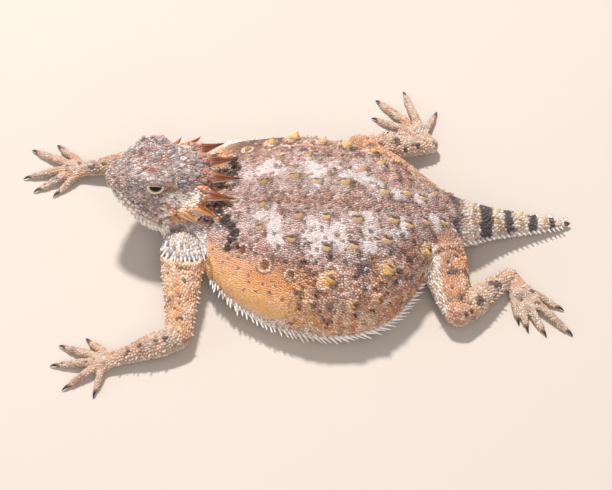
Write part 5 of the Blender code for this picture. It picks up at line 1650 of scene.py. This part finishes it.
for tag, (centre, out, fore, up) in EYES.items():
    sides, steps = 48, 30
    q = 2 * math.pi * np.arange(sides) / sides
    rings, cols = [], []
    for i in range(1, steps):
        a = math.pi * i / steps
        bulge = 1 + 0.05 * math.exp(-((a / 0.45) ** 2))
        ring = centre + EYE_R * bulge * (math.cos(a) * out + math.sin(a) * (np.outer(np.cos(q), fore) + np.outer(np.sin(q), up)))
        rings.append(ring)
        iris = blend(rgb(30, 18, 12), rgb(58, 38, 22), noise(ring, 0.35, 4, 2))
        k = blend(iris, rgb(8, 6, 6), np.full(sides, float(step(0.40, 0.33, a))))
        k = blend(k, rgb(16, 11, 10), np.full(sides, float(step(0.46, 0.6, a))))
        cols.append(k)
    v, f = loft(rings)
    ob = new_mesh(f"eye_{tag}_detail", v, f, np.vstack(cols + [cols[0][:1], cols[-1][:1]]))
    ob.data.materials.append(EYE_MAT)
    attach(ob, "root")
    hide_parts(f"eye_{tag}")
    # lids: a beaded rim that closes on the ball
    sides = 96
    q = 2 * math.pi * np.arange(sides) / sides
    edge = lid_angle(np.cos(q), np.sin(q))
    bead = 0.5 + 0.5 * np.cos(q * 17)
    rings, cols = [], []
    prof = [(-2, 0.02), (0, 0.14), (3, 0.34), (7, 0.5), (11, 0.48), (14, 0.3), (16, 0.2), (19, 0.36), (24, 0.5), (29, 0.42), (33, 0.3), (40, 0.0)]
    for deg, high in prof:
        a = edge + math.radians(deg) * (1 - 0.5 * step(0.1, 0.7, np.sin(q)) * (deg <= 16))
        h = high + (0.06 * bead if 3 <= deg <= 11 else 0.0) + (0.12 * (0.5 + 0.5 * np.cos(q * 19 + 1)) if 19 <= deg <= 29 else 0)
        upper = step(0.15, 0.8, np.sin(q))
        h = h + upper * (0.5 if deg >= 11 else 0.3 if deg > 0 else 0)
        r = EYE_R + h
        ring = centre + r[:, None] * (np.cos(a)[:, None] * out + np.sin(a)[:, None] * (np.cos(q)[:, None] * fore + np.sin(q)[:, None] * up))
        rings.append(ring)
        k = blend(rgb(236, 214, 184) + np.zeros((sides, 3)), rgb(186, 158, 144), upper * 0.9)
        if deg > 16:
            k = blend(rgb(206, 176, 160) + np.zeros((sides, 3)), rgb(182, 160, 154), upper)
        # painted shade: the lid is darker where it tucks against the ball, along its rim, in the groove between its two
        # rows and on the slopes down to it and to the skin; lighter on the beads
        k = k * (0.3 if deg < 0 else 0.6 if deg == 0 else 0.34 if deg == 16 else 0.6 if deg in (14, 33) else 0.94 + 0.12 * bead[:, None])
        cols.append(k)
    rr = np.array(rings)
    n, mcount = rr.shape[:2]
    j = np.arange(mcount)
    k2 = (j + 1) % mcount
    tris = []
    for i in range(n - 1):
        a, b2, c2, d2 = i * mcount + j, i * mcount + k2, (i + 1) * mcount + k2, (i + 1) * mcount + j
        tris += [np.stack([a, b2, c2], 1), np.stack([a, c2, d2], 1)]
    tris = np.vstack(tris)
    vv = rr.reshape(-1, 3)
    fn = np.cross(vv[tris[0, 1]] - vv[tris[0, 0]], vv[tris[0, 2]] - vv[tris[0, 0]])
    if fn @ (vv[tris[0, 0]] - centre) < 0:
        tris = tris[:, ::-1]
    ob = new_mesh(f"eyelids_{tag}", vv, tris, np.vstack(cols))
    ob.data.materials.append(HEAD_MAT)
    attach(ob, "root")

# ---- claws -------------------------------------------------------------------------------
CLAW = [(-0.9, 0.8, 0.5), (-0.1, 0.82, 0.52), (0.5, 0.95, 0.46), (1.0, 0.98, 0.38), (1.5, 0.86, 0.29), (1.95, 0.62, 0.19), (2.35, 0.34, 0.08)]
vs, fs, cs, n = [], [], [], 0
for limb, foot in FEET.items():
    for (x0, y0), (x1, y1), r in foot["toes"]:
        d = unit(np.array([x1 - x0, y1 - y0, 0.0]))
        path = [np.array([x1, y1, 0]) + d * (a + 0.4) + (0, 0, h) for a, h, _ in CLAW]
        fine_t = np.linspace(0, len(CLAW) - 1, 16)
        pts = np.array([[np.interp(q, range(len(CLAW)), [p[k] for p in path]) for k in range(3)] for q in fine_t])
        rad = [float(np.interp(q, range(len(CLAW)), [c[2] for c in CLAW])) for q in fine_t]
        v, f = loft(tube(pts, rad, 12, 1.15)[4:-3])
        t = np.clip(np.abs((v - path[0]) @ d) / 3.2, 0, 1)
        c = blend(rgb(150, 118, 92) + np.zeros((len(v), 3)), rgb(52, 38, 32), step(0.1, 0.75, t))
        vs.append(v)
        fs.append(f + n)
        cs.append(c)
        n += len(v)
claws = new_mesh("claws", np.vstack(vs), np.vstack(fs), np.vstack(cs))
claws.data.materials.append(HORN_MAT)
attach(claws, "root")

# ---- stage, light, camera -----------------------------------------------------------------
bpy.ops.mesh.primitive_plane_add(size=6, location=(0, 0, 0))
floor = bpy.context.object
floor.name = "floor"
m, t, b = nodes_of("floor_paper")
no = t.nodes.new("ShaderNodeTexNoise")
no.inputs["Scale"].default_value = 9
mr = t.nodes.new("ShaderNodeMapRange")
mr.inputs["To Min"].default_value, mr.inputs["To Max"].default_value = 0.97, 1.03
vm = t.nodes.new("ShaderNodeVectorMath")
vm.operation = "SCALE"
vm.inputs[0].default_value = (0.57, 0.50, 0.44)
t.links.new(no.outputs["Fac"], mr.inputs["Value"])
t.links.new(mr.outputs["Result"], vm.inputs["Scale"])
t.links.new(vm.outputs["Vector"], b.inputs["Base Color"])
b.inputs["Roughness"].default_value = 0.9
floor.data.materials.append(m)


def lamp(name, at, aim, size, power, colour=(1, 1, 1)):
    l = bpy.data.lights.new(name, "AREA")
    l.shape, l.size, l.energy, l.color = "DISK", size, power, colour
    o = bpy.data.objects.new(name, l)
    o.location = at
    o.rotation_euler = (Vector(aim) - Vector(at)).to_track_quat("-Z", "Y").to_euler()
    bpy.context.scene.collection.objects.link(o)


lamp("key", (-0.14, 0.40, 0.95), (0, 0, 0), 0.12, 12.6, (1.0, 0.985, 0.96))
lamp("fill", (0.1, -0.8, 0.8), (0, 0, 0), 0.9, 5.4, (1.0, 0.98, 0.96))
lamp("side", (-0.9, -0.2, 0.4), (0, 0, 0), 0.5, 1.6, (0.96, 0.98, 1.0))
world = bpy.data.worlds.new("studio")
bpy.context.scene.world = world
world.use_nodes = True
world.node_tree.nodes["Background"].inputs["Color"].default_value = (0.9, 0.93, 1.0, 1)
world.node_tree.nodes["Background"].inputs["Strength"].default_value = 0.34

cam = bpy.data.cameras.new("camera")
eye = bpy.data.objects.new("camera", cam)
bpy.context.scene.collection.objects.link(eye)
cam.sensor_width = 36.0
cam.lens = 36.0 * (600 / 0.28) / 612
cam.clip_start = 0.01
eye.location = tuple(metres(VIEWPOINT))
eye.rotation_euler = (math.pi / 2 - ELEV, 0, 0)
bpy.context.scene.camera = eye
bpy.context.scene.view_settings.view_transform = "Standard"
